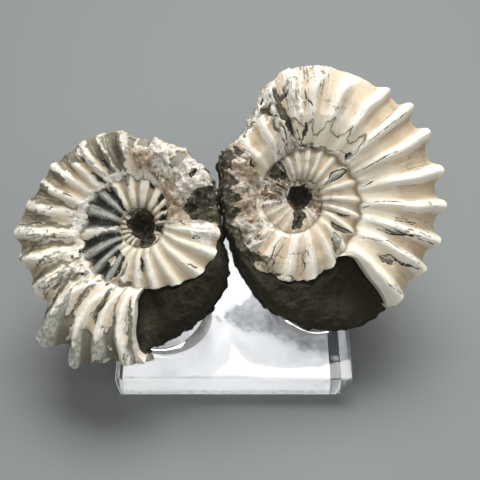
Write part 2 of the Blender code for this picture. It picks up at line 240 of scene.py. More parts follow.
LEFT = {
    "name": "left_ammonite",
    "slot": "left_shell",
    "centre": (-18.80, 0.47, 28.60),
    "lean": 36.2,
    "turn": -17.0,
    "heading": 281.9,
    "grows": 1,
    "stone_end": -92.0,
    "shell_radius": [
        (-12, 27.4), (0, 27.6), (6, 27.3), (12, 26.9), (15, 27.2), (17, 29.0), (20, 30.2),
        (24, 30.0), (27, 28.6), (30, 28.2), (33, 29.2), (35, 30.2), (40, 29.9), (44, 28.2),
        (45.5, 26.2), (49, 24.9), (54, 24.3), (60, 24.5), (70, 24.6), (80, 25.3), (92, 25.0),
        (99, 24.0), (108, 22.7), (123, 22.3), (137, 21.4), (157, 20.6), (167, 19.8), (177, 18.2),
        (208, 17.9), (234, 17.2), (252, 16.2), (268, 16.2), (290, 16.5), (305, 15.8), (312, 15.2),
        (326, 13.7), (345, 12.6), (360, 12.1), (407, 12.5), (428, 12.2), (448, 11.4), (478, 10.7),
        (519, 10.1), (540, 9.5), (572, 8.0), (603, 6.0), (628, 4.9), (718, 4.4), (808, 4.3),
        (898, 4.0), (988, 2.7),
    ],
    "stone_radius": [
        (-92, 15.6), (-77, 17.2), (-67, 19.4), (-57, 20.7), (-32, 22.3), (-17, 23.3), (0, 25.4),
    ],
    "shell_height": [
        (-12, 6.9), (0, 6.9), (90, 6.2), (178, 5.0), (268, 4.0), (360, 3.4), (540, 2.6),
        (720, 1.6), (988, 0.9),
    ],
    "stone_height": [(-92, 4.0), (-60, 4.0), (-25, 3.4), (0, 2.6)],
    "middle_crests": [
        -5, 5.5, 16, 27, 41, 55, 69, 83, 98, 110.5, 122, 132.5, 142.5, 153.5,
    ],
    "rim_crests": [-10, 2, 15, 23, 38, 57, 72, 86, 101, 112, 123, 133.5, 143, 154],
    "inner_crests": [
        167, 182, 198, 214, 230, 246, 260, 274, 289, 306, 325, 343, 359, 374, 389, 404, 419.5,
        442, 468, 489, 505, 524, 544, 568, 584.5, 601, 617,
    ],
    "rib_strength": [
        (0, 1.0), (70, 1.0), (100, 0.75), (160, 0.85), (172, 0.5), (180, 0.15), (235, 0.15),
        (262, 0.3), (285, 0.9), (380, 1.0), (560, 1.0), (620, 0.7), (640, 0.3), (735, 0.3),
        (745, 1.0), (842, 1.0), (850, 0.3), (1000, 0.3),
    ],
    "knob": [(0, .02), (15, .03), (50, .03), (90, .03), (104, .012), (200, .0), (262, .0),
             (274, .04), (350, .04), (380, .05), (560, .05), (620, .02), (700, .015),
             (760, 0)],
    "rim_smooth": [(0, 0), (84, 0), (94, .8), (160, .8), (172, .3), (180, 0), (1000, 0)],
    "ragged": [(0, 0.15), (15, 0.35), (50, 0.35), (60, 0.15), (170, 0.15), (185, 0.4),
               (240, 0.4), (270, 0.1), (410, .1), (430, .5), (540, .5), (550, .1), (1000, .05)],
    "sweep": [(0, 3), (10, 8), (25, 14), (55, 13), (75, 6), (100, 3), (160, 2), (280, 6),
              (350, 4), (1000, 0)],
    "sharpness": [(0, 1.3), (50, 1.3), (90, 1.0), (160, 0.9), (270, 1.2), (370, 1.2),
                  (390, 0.7), (500, 0.8), (1000, 1.0)],
    "wear": [(0, .3), (45, .9), (78, .7), (100, .6), (165, .7), (262, .5), (275, .2), (350, .1),
             (500, .3), (1000, .4)],
    "shade": [(-92, .4), (-60, .25), (-30, .05), (-14, .1), (-7, .5), (-1, .3), (0, .5), (50, .6),
              (75, .9), (92, 1.2), (165, 1.3), (180, .6), (260, .5), (300, .6), (380, .7),
              (500, .95), (560, .95), (600, 1.05), (620, 1.2), (1000, 1.2)],
    "crumbs": [(0, 0), (625, 0), (640, .6), (725, .6), (738, 0), (838, 0), (850, 1), (1000, 1)],
    "pit_edge": 2.9,
    "fall": [(0, .6), (50, .6), (75, .42), (230, .42), (260, .6), (380, .6), (400, .75),
             (500, .75), (530, .6), (1000, .6)],
    "slope": [(0, 0), (45, 0), (75, 1), (230, 1), (262, 0), (1000, 0)],
    "back_areas": {"hollow": [[(239, -.3), (239, .1), (268, .1), (268, -.3)]]},
    "lip": [(0, -5.5), (0.1, -3), (0.32, -2), (0.63, -2.8), (0.8, -2.6), (0.9, -4.5), (1, -9)],
    "relief": [
        (-12, 0.70, -1.6, 10, 0.30),
        (158, 0.30, -0.9, 6, 0.40),
        (250, 0.45, -1.5, 12, 0.40),
        (228, 0.60, 0.8, 12, 0.30),
        (229, 0.15, 0.8, 8, 0.20),
    ],
    "areas": {
        "bare": [
            [(46, -.3), (46.5, .2), (48.5, .36), (45, .34), (43.4, .35), (40.7, .24), (42, .35),
             (40.5, .48), (43.3, .64), (41.9, .68), (38.8, .54), (37.1, .41), (35.6, .41),
             (34.6, .52), (33.6, .51), (32.7, .46), (29, .33), (30.6, .29), (30.6, .08),
             (29, -.05), (28.6, -.3)],
            [(30.6, -.3), (30.4, .06), (26.7, .18), (24.1, .11), (23.9, .23), (25, .31),
             (24.2, .39), (21.4, .41), (17.7, .33), (15.8, .24), (15.9, .19), (14.3, .16),
             (14.6, .27), (12.9, .27), (11.5, .36), (11.1, .5), (9.8, .62), (8.1, .52), (7, .34),
             (7.6, .29), (5.6, .28), (5.6, .12), (4, -.02), (3, -.3)],
            [(171, .08), (171, .33), (176, .35), (176, .08)],
            [(178, -.05), (178, .2), (187, .22), (187, -.05)],
            [(206, .03), (206, .42), (210, .48), (214, .3), (214, .03)],
            [(366, -.02), (367, .1), (378, .12), (379, -.02)],
        ],
        "hollow": [
            [(239, -.35), (238.5, .3), (241, .52), (248, .6), (256, .55), (262, .48), (266, .1),
             (268, -.35)],
            [(664, .5), (672, .2), (690, .05), (712, .05), (728, .4), (732, 1.02), (664, 1.02)],
            [(852, .15), (880, .0), (930, .1), (950, .4), (950, 1.02), (852, 1.02)],
        ],
        "flake": [
            [(264, .08), (265, .4), (270, .5), (276, .48), (283, .42), (284, .1)],
            [(62, .95), (70, .9), (84, .88), (92, .82), (100, .86), (108, .8), (116, .88),
             (124, .82), (130, .86), (138, .76), (144, .88), (156, .82), (166, .86), (178, .87),
             (178, .99), (62, .99)],
        ],
        "dark": [
            [(384, .66), (381, .22), (388, -.02), (400, -.02), (430, 0), (470, 0), (503, 0),
             (505, .3), (500, .6), (497, .92), (480, .98), (440, 1.0), (420, 1.0), (405, .95),
             (398, .75), (390, .7)],
            [(518.5, -.02), (519.6, .1), (521.2, .4), (524, .15), (525.9, -.02)],
            [(628, 0), (628, .8), (642, .8), (642, 0)],
        ],
        "matrix": [
            [(172, .35), (176, .38), (186, .3), (200, .38), (214, .45), (222, .6), (238, .55),
             (262, .45), (268, .6), (262, .98), (240, 1.0), (215, .97), (205, .9), (190, .8),
             (176, .75)],
        ],
        "crust": [
            [(186, -.1), (186, .33), (200, .38), (205, .3), (206, -.1)],
            [(214, -.15), (213, .4), (218, .6), (232, .62), (239, .45), (239, -.15)],
        ],
        "furrow": [
            [(153.2, .05), (155.9, .52), (157.5, .85), (164.4, .87), (167.7, .43), (166, .02)],
            [(143.7, .08), (146.4, .41), (148.5, .76), (147.4, .9), (154.9, .84), (154.2, .45),
             (152, .1)],
            [(126.9, -.02), (128.3, .17), (130.7, .17), (133.4, .33), (139.2, .42), (140.2, .34),
             (137.3, .03)],
            [(115.1, .0), (115.4, .13), (118.3, .29), (121.7, .44), (122.3, .3), (120, .0)],
            [(104.2, .0), (106, .27), (111.3, .23), (112.5, .02)],
        ],
    },
    "strokes": {
        "dark": [
            (.22, [(19.8, .8), (19.6, .7), (20.9, .62)]),
            (.22, [(20.5, .48), (20, .62), (19.5, .78)]),
            (.30, [(46, .83), (47, .87)]),
            (.35, [(66, .98), (62, .93), (58, .97)]),
            (.28, [(62.5, .8), (63.5, .84)]),
            (.25, [(34, .95), (31, .97)]),
            (.25, [(26, .94), (24, .97)]),
            (.35, [(80, .58), (82, .59)]),
            (.18, [(82.5, .49), (84, .51)]),
            (.22, [(99, .44), (100.5, .46)]),
            (.25, [(149, .5), (150.5, .65), (152, .8)]),
            (.50, [(225.5, .15), (227, .26)]),
            (.12, [(278, .28), (281, .3), (282, .38), (280, .42), (278, .38), (278, .28)]),
            (.16, [(303, .1), (306, .24)]),
            (.22, [(353, .4), (353, .76)]),
            (.45, [(375, .22), (376, .5)]),
            (.50, [(550, .03), (556, .08)]),
            (.40, [(576, 0), (577, .38)]),
            (.40, [(593, 0), (594, .38)]),
            (.40, [(609, 0), (610, .38)]),
            (.3, [(137.5, .59), (137.3, .75), (141, .9)]),
        ],
        "bare": [
            (.45, [(-2.6, -.1), (-.6, .1), (0, .25), (0, .5), (.8, .8)]),
            (.35, [(50, .3), (52, .45), (54, .6)]),
            (.30, [(67, .45), (69, .62)]),
            (.35, [(88, -.02), (89.5, .2), (90, .4)]),
        ],
        "crust": [
            (.40, [(168, .0), (168, .6)]),
        ],
        "furrow": [
            (.5, [(103, .0), (103, .3), (104.6, .55), (104.6, .8)]),
            (.5, [(88, -.02), (89.5, .2), (89, .55), (88, .88)]),
            (.6, [(73, -.02), (76, .2), (76.5, .55), (74, .85)]),
            (.55, [(60, .0), (62, .3), (62, .6), (59, .9)]),
            (.45, [(47, .3), (49, .6), (47.5, .85)]),
            (.4, [(34, .5), (35, .7), (33, .9)]),
            (.35, [(21, .5), (21.5, .75), (19, .93)]),
            (.22, [(1.2, .0), (1, .3), (1.6, .6), (1, .85)]),
            (.2, [(9.5, .45), (10.5, .65), (9.5, .85), (7, .96)]),
            (.2, [(33, .45), (33.5, .65), (31, .85)]),
            (.2, [(52, .1), (55, .4), (54.5, .7), (52, .9)]),
            (.2, [(65, .1), (68.5, .4), (68, .65)]),
            (.2, [(79, .2), (80.5, .5), (79, .8)]),
            (.2, [(94, .05), (94.5, .35), (93.5, .6)]),
        ],
        "crack": [
            (.1, [(112, .54), (112.2, .68)]),
        ],
        "flake": [
            (.45, [(139, .05), (140.5, .4), (144, .8)]),
            (.35, [(123, .02), (125, .5)]),
        ],
        "-bare": [
            (.22, [(10.6, .18), (10, .14), (9.4, .08)]),
            (.22, [(22, .14), (20.3, .06)]),
        ],
        "-dark": [
            (.55, [(395, .3), (396, .55)]),
            (.90, [(438, .0), (441, .3), (442, .58)]),
            (.45, [(442, .7), (444, 1.0)]),
        ],
    },
}

RIGHT = {
    "name": "right_ammonite",
    "slot": "right_shell",
    "centre": (13.50, 6.35, 31.20),
    "lean": 37.7,
    "turn": 19.8,
    "heading": 293.1,
    "grows": -1,
    "stone_end": -99.0,
    "shell_radius": [
        (-12, 28.9), (0, 28.8), (12, 28.5), (28, 28.6), (60, 28.7), (98, 28.6), (106, 28.3),
        (112, 27.9), (120, 27.6), (130, 27.6), (140, 27.0), (151, 25.8), (156, 24.9), (161, 22.8),
        (166, 21.0), (171, 19.4), (181, 17.9), (196, 17.6), (203, 18.0), (210, 18.2), (218, 16.9),
        (228, 16.6), (240, 16.4), (252, 16.9), (261, 16.9), (290, 17.4), (319, 17.0), (329, 16.4),
        (339, 15.6), (348, 14.6), (360, 13.2), (381, 12.6), (411, 11.7), (442, 11.0), (472, 10.3),
        (503, 9.4), (525, 8.7), (612, 8.6), (658, 8.1), (707, 6.1), (769, 4.2), (830, 3.9),
        (981, 2.9),
    ],
    "stone_radius": [
        (-99, 16.9), (-89, 17.6), (-80, 19.3), (-60, 22.6), (-48, 24.8), (-38, 26.2),
        (-29, 27.7), (-16, 29.0), (0, 29.4),
    ],
    "shell_height": [
        (-12, 7.2), (0, 7.2), (90, 6.8), (180, 5.4), (261, 4.4), (360, 3.7), (540, 2.8),
        (720, 1.8), (981, 1.0),
    ],
    "stone_height": [(-99, 4.4), (-70, 4.4), (-30, 3.6), (0, 2.6)],
    "middle_crests": [
        -10, 3.5, 20, 31.5, 45.5, 60.5, 77, 91.5, 106, 122.5, 137, 150, 162, 175, 196, 210, 224,
    ],
    "rim_crests": [
        -12, 4, 20, 33, 48, 62, 78.5, 91, 103, 119, 133, 148, 160, 171, 190, 206, 222,
    ],
    "inner_crests": [
        239, 256, 273, 290, 309, 327, 345, 360, 376, 392, 408, 427, 444, 462, 478, 493, 509, 524,
        540, 556,
    ],
    "rib_strength": [
        (0, 1.0), (190, 1.0), (200, 0.3), (265, 0.3), (290, 0.8), (320, 1.0), (590, 1.0),
        (625, 0.4), (735, 0.4), (745, 1.2), (847, 1.2), (860, 0.3), (1000, 0.3),
    ],
    "knob": [(0, .02), (14, .02), (20, .035), (34, .058), (92, .058), (99, .035), (106, .01),
             (112, .0), (200, .0), (262, .0), (290, .035), (340, .035), (450, .03), (520, .015),
             (700, .015), (760, 0)],
    "rim_smooth": [(0, 0), (102, 0), (110, 1), (148, 1), (158, .3), (200, .3), (280, 0),
                   (1000, 0)],
    "ragged": [(0, 0.1), (140, 0.1), (150, 0.5), (200, 0.5), (210, 0.3), (345, 0.3),
               (355, 0.1), (1000, 0.05)],
    "sweep": [(0, 2), (60, 2), (150, 2), (165, -4), (205, -6), (250, 0), (1000, 0)],
    "sharpness": [(0, 1.8), (110, 2.0), (200, 1.6), (280, 1.3), (350, 1.4), (400, 1.7),
                  (1000, 1.5)],
    "wear": [(0, .3), (40, .3), (60, .2), (110, .35), (148, .8), (160, .8), (170, .3), (190, .3),
             (205, .8), (262, .9), (305, .4), (350, .3), (400, .1), (530, .3), (1000, .4)],
    "shade": [(-99, .5), (-60, .45), (-25, .2), (-1, .3), (0, .7), (90, .75), (120, .45),
              (150, .5), (165, .9), (195, .9), (260, .6), (300, .65), (400, .7), (530, .7),
              (600, .5), (725, .5), (735, 1), (745, 1.4), (1000, 1.4)],
    "crumbs": [(0, 0), (530, 0), (540, .8), (600, .8), (625, .1), (700, .1), (735, .8),
               (1000, 1)],
    "pit_edge": 2.6,
    "fall": [(0, .6), (1000, .6)],
    "slope": [(0, 0), (20, 0), (60, .6), (200, .6), (230, 1), (262, .5), (280, 0), (1000, 0)],
    "lip": [(0, -1), (0.25, -0.5), (0.5, -0.7), (0.8, 0), (0.9, -2), (0.96, -6), (1, -9)],
    "relief": [
        (-14, 0.60, -1.8, 12, 0.30),
        (156, 0.25, -1.0, 5, 0.35),
        (-70, 0.40, 0.6, 12, 0.30),
        (222, 0.80, -1.1, 14, 0.30),
        (244, 0.85, -0.9, 14, 0.25),
        (546, 0.50, -0.6, 9, 0.40),
    ],
    "back_areas": {"hollow": [[(196, -.3), (196, .1), (290, .1), (290, -.3)]]},
    "areas": {
        "lower": [
            [(152.4, .6), (147, .68), (140.5, .74), (136.4, .66), (134, .85), (127.5, .8),
             (121.2, .6), (120.2, .76), (112.2, .8), (108.6, .72), (106.7, .63), (104.7, .77),
             (99.4, .8), (97.5, .69), (96, .6), (92, .72), (91, .88), (100, .94), (117, .96),
             (135, .96), (147, .93), (154, .88)],
        ],
        "bare": [
            [(151.2, .13), (149.5, .15), (151, .24), (152.5, .31), (154.4, .28), (152.9, .2)],
            [(11.4, .6), (10, .5), (12.5, .36), (14.5, .38), (13.5, .5)],
            [(438.5, .82), (450.4, .42), (446, .1), (441, .03), (437.5, .4)],
            [(134, .07), (130.3, .08), (131, .13), (133, .14)],
            [(369.5, .68), (373, .3), (375, .08), (368, .2), (365.5, .58)],
            [(352, .1), (353, .4), (362, .45), (363, .12)],
        ],
        "dark": [
            [(164.1, .02), (166, -.06), (168.1, -.08), (167, .05), (164.5, .07)],
            [(163.8, .21), (168, .05), (174.6, -.08), (172, .03), (166.7, .19)],
            [(532, .0), (534, .35), (538, .5), (542, .3), (540, .0)],
        ],
        "flake": [
            [(154, -.05), (156, .1), (163, .14), (166, .08), (176, .1), (186, .12), (196, .03),
             (196, -.3), (154, -.3)],
        ],
        "hollow": [
            [(196, .04), (197.6, .28), (202.6, .25), (202.4, .12)],
            [(199, -.3), (199, -.02), (204, .19), (213.4, .16), (213.2, .02), (214.2, .02),
             (216.3, .18), (222.2, .32), (227.1, .15), (231, .3), (235.6, .44), (238.4, .09),
             (243, .22), (247.6, .34), (250.3, .07), (260, .2), (269.3, .17), (277.4, .15),
             (285.2, .24), (291, .3), (287, .1), (284, .03), (284, -.3)],
            [(648, 1), (662, .4), (665, .15), (676, .18), (686, .55), (698, .9), (698, 1)],
            [(533, -.02), (535, .4), (540, .75), (550, .7), (556, .4), (562, .35), (560, .15),
             (552, -.02)],
        ],
        "matrix": [
            [(194, .05), (197, .5), (203, .75), (215, .92), (230, .94), (243, .82), (247, .5),
             (245, .12), (235, .1), (225, .12), (215, .14), (207, .02)],
            [(533, -.02), (536, .5), (544, .95), (570, .98), (600, .98), (600, .5), (575, .2),
             (556, -.02)],
            [(276, .02), (280, .3), (296, .3), (300, .02)],
            [(736, .0), (736, .98), (860, .98), (860, .0)],
            [(243, .82), (256, .78), (268, .74), (276, .45), (268, .2), (246, .12)],
        ],
    },
    "strokes": {
        "crust": [
            (.5, [(161, .1), (160.5, .3), (161.5, .5), (159, .7), (157, .86)]),
        ],
        "dark": [
            (.8, [(158.6, .10), (156.8, .3), (158.3, .42), (157, .5), (155.3, .58)]),
            (.35, [(157, .3), (154, .32), (152, .27)]),
            (.45, [(156, .5), (154.5, .68), (150.5, .8)]),
            (.35, [(167, -.1), (178, -.11), (188, -.09), (196, -.06)]),
            (.35, [(163.5, .16), (160.5, .3), (161, .46)]),
            (.28, [(168.5, .1), (165.5, .24), (164.8, .33)]),
            (.22, [(163, .52), (160, .62), (159.5, .76)]),
            (.25, [(157, .42), (160.5, .4), (163, .44)]),
            (.14, [(148.6, .15), (150.4, .23), (152.3, .31)]),
            (.3, [(140, .7), (140.5, .8), (143.1, .89)]),
            (.14, [(155.5, .56), (156, .64), (156.8, .72)]),
            (.16, [(149, .8), (152, .84), (150, .9), (146, .86), (144, .9)]),
            (.2, [(153.8, .93), (142.8, .95), (128.7, .98), (111.1, .98)]),
            (.17, [(145.5, .94), (135.8, .93), (124, .95)]),
            (.3, [(158.8, -.08), (160.7, -.05), (162.9, -.03)]),
            (.3, [(176.6, -.07), (179.7, -.06), (182.4, -.03)]),
            (.35, [(94, .86), (92.5, .9), (90, .97)]),
            (.25, [(31.5, .42), (33.4, .36), (33.7, .31)]),
            (.22, [(33.3, .1), (33.8, .25)]),
            (.18, [(10.3, .5), (12.4, .38)]),
            (.3, [(668, .3), (672, .6), (674, .9)]),
            (.3, [(552, .45), (559, .5)]),
            (.14, [(286, .12), (290, .16), (294, .1)]),
            (.14, [(299, .0), (303, .04), (306, .12)]),
        ],
        "bare": [
            (.3, [(171, .05), (181, .04), (190, .03)]),
            (.4, [(164, .36), (166.5, .48), (164.5, .6)]),
            (.3, [(184, .02), (187, .03)]),
            (.25, [(27.9, .7), (28.6, .55), (31, .4)]),
            (.35, [(386.5, .38), (385, .6)]),
        ],
        "crack": [
            (.12, [(152, .8), (149, .75), (146, .86), (143, .93)]),
            (.12, [(160.9, .42), (164, .36), (168.4, .40)]),
            (.11, [(141.8, .3), (140.6, .41), (137.6, .53)]),
            (.12, [(140.4, .22), (137.3, .15)]),
            (.11, [(134.1, .22), (133.3, .31)]),
            (.12, [(158, .75), (163, .86), (165, .7)]),
            (.13, [(26.3, .77), (26.8, .6), (29.8, .41), (31.8, .24)]),
            (.10, [(36, .29), (37, .4), (36.2, .6)]),
            (.12, [(11, .6), (15.8, .48), (15.7, .26), (20, .03)]),
            (.2, [(200, .5), (203.9, .55), (203, .65)]),
            (.10, [(389, .25), (386, .6), (381, .95)]),
            (.10, [(438.5, .82), (450.4, .42), (446, .1), (441, .03), (437.5, .4), (438.5, .82)]),
            (.10, [(365.5, .58), (369.5, .68), (373, .3), (375, .08)]),
            (.09, [(90.5, .1), (91, .25), (91.5, .45), (92, .7), (93.5, .9)]),
            (.09, [(37.5, .64), (38.5, .45), (37.5, .3), (35.8, .18), (34.8, .06)]),
            (.09, [(30.3, .64), (29.8, .4), (30.6, .2), (31.5, .04)]),
            (.10, [(14, .95), (18, .75), (22, .6), (21.5, .4), (21, .2), (20.5, .02)]),
            (.09, [(12.8, .6), (15, .4), (17.5, .2), (18.5, .05)]),
            (.09, [(3, .3), (4.5, .15), (6.5, .02)]),
            (.09, [(43, .9), (40, .97)]),
            (.08, [(60, .96), (63, .85), (64, .8)]),
            (.09, [(75, .98), (76, .8), (77.5, .6), (77, .4)]),
            (.09, [(46, .9), (47.5, .7), (47, .5)]),
            (.08, [(291, .05), (292, .3), (290, .6), (292, .85)]),
            (.08, [(297, .1), (295, .4), (298, .7)]),
            (.08, [(306, .02), (308, .09), (311, .09), (313, .03), (310, -.03), (306, .02)]),
            (.07, [(305, .5), (320, .55)]),
            (.08, [(318, .05), (322, .25), (319, .45), (323, .6)]),
            (.08, [(288, .3), (296, .42), (303, .38)]),
        ],
        "flake": [
            (.4, [(143, .1), (145, .4), (144, .6)]),
            (.4, [(162, .27), (167.4, .28), (175, .2)]),
            (.4, [(213, .1), (214.5, .2), (218.5, .29), (229, .36)]),
            (.3, [(205, .36), (209, .3), (213.5, .21)]),
            (.35, [(231, .12), (234, .35), (238, .7)]),
            (.35, [(244, .1), (245, .4), (249, .75)]),
            (.4, [(254, .1), (256, .4), (258, .7)]),
            (.35, [(264, .15), (266, .45), (266, .75)]),
            (.4, [(274, .15), (276, .4), (277, .7)]),
            (.45, [(250, .9), (256.5, .88), (267, .84), (279.5, .85), (305, .93), (325, .98)]),
        ],
        "hollow": [
            (.3, [(566, .5), (568, .9)]),
            (.25, [(582, .45), (584, .8)]),
        ],
        "matrix": [
            (.30, [(71, .3), (73, .31)]),
            (.30, [(47, .18), (49, .2)]),
            (.28, [(40.5, .13), (41.5, .16)]),
            (.28, [(5.5, .12), (6, .2)]),
        ],
    },
}

KINDS = ("bare", "dark", "hollow", "matrix", "crust", "flake", "lower", "furrow", "crack")


class FossilSettings(bpy.types.PropertyGroup):
    rib_height: FloatProperty(
        name="Rib height", description="Height of a rib as a share of the turn's radius",
        default=0.085, min=0.0, max=0.2)
    shell_thickness: FloatProperty(
        name="Shell thickness", description="Step where the shell is broken away",
        default=0.00038, min=0.0, max=0.002, subtype="DISTANCE", unit="LENGTH")
    stone_roughness: FloatProperty(
        name="Stone roughness", description="Height of the lumps on bare stone",
        default=0.00022, min=0.0, max=0.002, subtype="DISTANCE", unit="LENGTH")
    cream: FloatVectorProperty(
        name="Cream shell", description="Colour of the shell on the ribs",
        default=(0.78, 0.71, 0.57), min=0.0, max=1.0, subtype="COLOR", size=3)
    # White also paints highlights on crests, ridges and torn edges; tan and olive also paint shade
    # in furrows and hollows; slate also paints the lit crests of dark ribs.
    white: FloatVectorProperty(
        name="White shell", description="Colour of the palest shell",
        default=(0.86, 0.82, 0.73), min=0.0, max=1.0, subtype="COLOR", size=3)
    tan: FloatVectorProperty(
        name="Tan shell", description="Colour of the shell in the furrows",
        default=(0.55, 0.42, 0.27), min=0.0, max=1.0, subtype="COLOR", size=3)
    olive: FloatVectorProperty(
        name="Olive furrows", description="Colour of the darkest furrows in the shell",
        default=(0.17, 0.150, 0.10), min=0.0, max=1.0, subtype="COLOR", size=3)
    bare: FloatVectorProperty(
        name="Bare stone", description="Colour of the grey stone under the shell",
        default=(0.59, 0.60, 0.52), min=0.0, max=1.0, subtype="COLOR", size=3)
    dark: FloatVectorProperty(
        name="Dark stone", description="Colour of the darkest patches",
        default=(0.019, 0.020, 0.016), min=0.0, max=1.0, subtype="COLOR", size=3)
    slate: FloatVectorProperty(
        name="Slate", description="Colour of the ribs in the dark patches",
        default=(0.28, 0.29, 0.27), min=0.0, max=1.0, subtype="COLOR", size=3)
    matrix: FloatVectorProperty(
        name="Matrix", description="Colour of the brown grainy stone",
        default=(0.55, 0.42, 0.29), min=0.0, max=1.0, subtype="COLOR", size=3)
    amber: FloatVectorProperty(
        name="Amber crystals", description="Colour of the brown crystals round the middle",
        default=(0.22, 0.13, 0.07), min=0.0, max=1.0, subtype="COLOR", size=3)
    mouth: FloatVectorProperty(
        name="Mouth stone", description="Colour of the stone in the shell's mouth",
        default=(0.015, 0.012, 0.004), min=0.0, max=1.0, subtype="COLOR", size=3)


class StandSettings(bpy.types.PropertyGroup):
    block_edge: FloatProperty(
        name="Block edge", description="Radius of the block's polished edges",
        default=0.0003, min=0.0, max=0.002, subtype="DISTANCE", unit="LENGTH")
    tint: FloatVectorProperty(
        name="Acrylic tint", description="Colour of the clear acrylic",
        default=(0.985, 0.992, 0.992), min=0.0, max=1.0, subtype="COLOR", size=3)
    # The film's colour is also the colour of its painted glow.
    film: FloatVectorProperty(
        name="White film", description="Colour of the film under the block",
        default=(0.93, 0.94, 0.96), min=0.0, max=1.0, subtype="COLOR", size=3)


class StageSettings(bpy.types.PropertyGroup):
    floor: FloatVectorProperty(
        name="Floor", description="Colour of the floor",
        default=(0.150, 0.162, 0.158), min=0.0, max=1.0, subtype="COLOR", size=3)
    key_power: FloatProperty(
        name="Key power", description="Power of the main soft light, in watts",
        default=5.3, min=0.0, max=1000.0)
    fill_strength: FloatProperty(
        name="Fill strength", description="Strength of the light from all round",
        default=0.18, min=0.0, max=10.0)


class Wire:
    """A number in a material. Arithmetic on it adds the nodes."""

    def __init__(self, sheet, socket):
        self.sheet = sheet
        self.socket = socket

    def math(self, operation, *values):
        return self.sheet.add("ShaderNodeMath", {"operation": operation}, dict(enumerate(values)))

    def __add__(self, other):
        return self.math("ADD", self, other)

    __radd__ = __add__

    def __sub__(self, other):
        return self.math("SUBTRACT", self, other)

    def __rsub__(self, other):
        return self.math("SUBTRACT", other, self)

    def __mul__(self, other):
        return self.math("MULTIPLY", self, other)

    __rmul__ = __mul__

    def __abs__(self):
        return self.math("ABSOLUTE", self)

    def step(self, low, high):
        """Zero up to low, one from high on, smooth between."""
        return self.sheet.add("ShaderNodeMapRange", {"interpolation_type": "SMOOTHSTEP"},
                              {"Value": self, "From Min": low, "From Max": high})


class Sheet:
    """A material's nodes."""

    def __init__(self, name):
        self.material = bpy.data.materials.new(name)
        self.material.use_nodes = True
        self.tree = self.material.node_tree
        self.shader = self.tree.nodes["Principled BSDF"]

    def put(self, socket, value):
        if isinstance(value, Wire):
            self.tree.links.new(value.socket, socket)
        elif socket.type == "RGBA":
            socket.default_value = (*value, 1.0)
        else:
            socket.default_value = value

    def add(self, kind, settings=None, values=None, output=0):
        node = self.tree.nodes.new(kind)
        for name, value in (settings or {}).items():
            setattr(node, name, value)
        for name, value in (values or {}).items():
            self.put(node.inputs[name], value)
        return Wire(self, node.outputs[output])

    def finish(self, **values):
        for name, value in values.items():
            self.put(self.shader.inputs[name.replace("_", " ")], value)
        return self.material

    def place(self):
        """The place on the piece, in metres."""
        return self.add("ShaderNodeTexCoord", output=3)

    def along(self, place, direction):
        """How far a place lies along a direction, times the direction's length."""
        return self.add("ShaderNodeVectorMath", {"operation": "DOT_PRODUCT"},
                        {0: place, 1: direction}, 1)

    def mix(self, share, one, other):
        return self.add("ShaderNodeMix", {"data_type": "RGBA"}, {0: share, 6: one, 7: other}, 2)

    def grain(self, place, scale, detail=3.0, roughness=0.55):
        return self.add("ShaderNodeTexNoise", {}, {"Vector": place, "Scale": scale,
                                                   "Detail": detail, "Roughness": roughness})

    def attribute(self, name):
        return self.add("ShaderNodeAttribute", {"attribute_name": name}, output=2)

    def bump(self, height, distance, normal=None):
        values = {"Height": height, "Distance": distance, "Strength": 1.0}
        if normal:
            values["Normal"] = normal
        return self.add("ShaderNodeBump", {}, values)


def deselect_all():
    if bpy.context.mode != "OBJECT":
        bpy.ops.object.mode_set(mode="OBJECT")
    bpy.ops.object.select_all(action="DESELECT")


def apply_place(piece):
    deselect_all()
    piece.select_set(True)
    bpy.context.view_layer.objects.active = piece
    bpy.ops.object.transform_apply(location=True, rotation=True, scale=True)


def ease(value):
    value = np.clip(value, 0.0, 1.0)
    return value * value * (3 - 2 * value)


def curve(table, degrees, rounding=0.0):
    """A table's value at each angle, with its corners rounded over about so many degrees."""
    places, values = np.array(table, dtype=float).T
    if not rounding:
        return np.interp(degrees, places, values)
    spacing = 0.5
    reach = math.ceil(3 * rounding / spacing)
    fine = np.arange(places[0], places[-1] + spacing, spacing)
    line = np.pad(np.interp(fine, places, values), reach, "edge")
    weights = np.exp(-0.5 * (np.arange(-reach, reach + 1) * spacing / rounding) ** 2)
    line = np.convolve(line, weights / weights.sum(), "valid")
    return np.interp(degrees, fine, line)


def crest_angles(fossil, outer_crests):
    """Every crest's angle. The last spacing goes on past the innermost turn."""
    crests = fossil[outer_crests] + fossil["inner_crests"]
    spacing = crests[-1] - crests[-2]
    while crests[-1] < LAST_CREST:
        crests.append(crests[-1] + spacing)
    return np.array(crests, dtype=float)


def rib_wave(fossil, degrees, inward):
    """One on a rib's crest and zero in the furrow."""
    middle = crest_angles(fossil, "middle_crests")
    rim = crest_angles(fossil, "rim_crests")
    near_seam = np.clip((inward - SWEEP_START) / (1 - SWEEP_START), 0, 1)
    degrees = degrees + curve(fossil["sweep"], degrees) * near_seam ** 2
    middle_count = np.interp(degrees, middle, np.arange(len(middle)))
    rim_count = np.interp(degrees, rim, np.arange(len(rim)))
    count = rim_count + (middle_count - rim_count) * ease(inward / CREST_BLEND)
    return (0.5 + 0.5 * np.cos(2 * math.pi * count)) ** curve(fossil["sharpness"], degrees)


def rim_share(fossil, degrees):
    """Height of a rim as a share of its turn's height."""
    covered = ease((degrees - fossil["stone_end"] - 360) / COVER_DEGREES)
    return RIM_SHARE + (COVERED_RIM_SHARE - RIM_SHARE) * covered


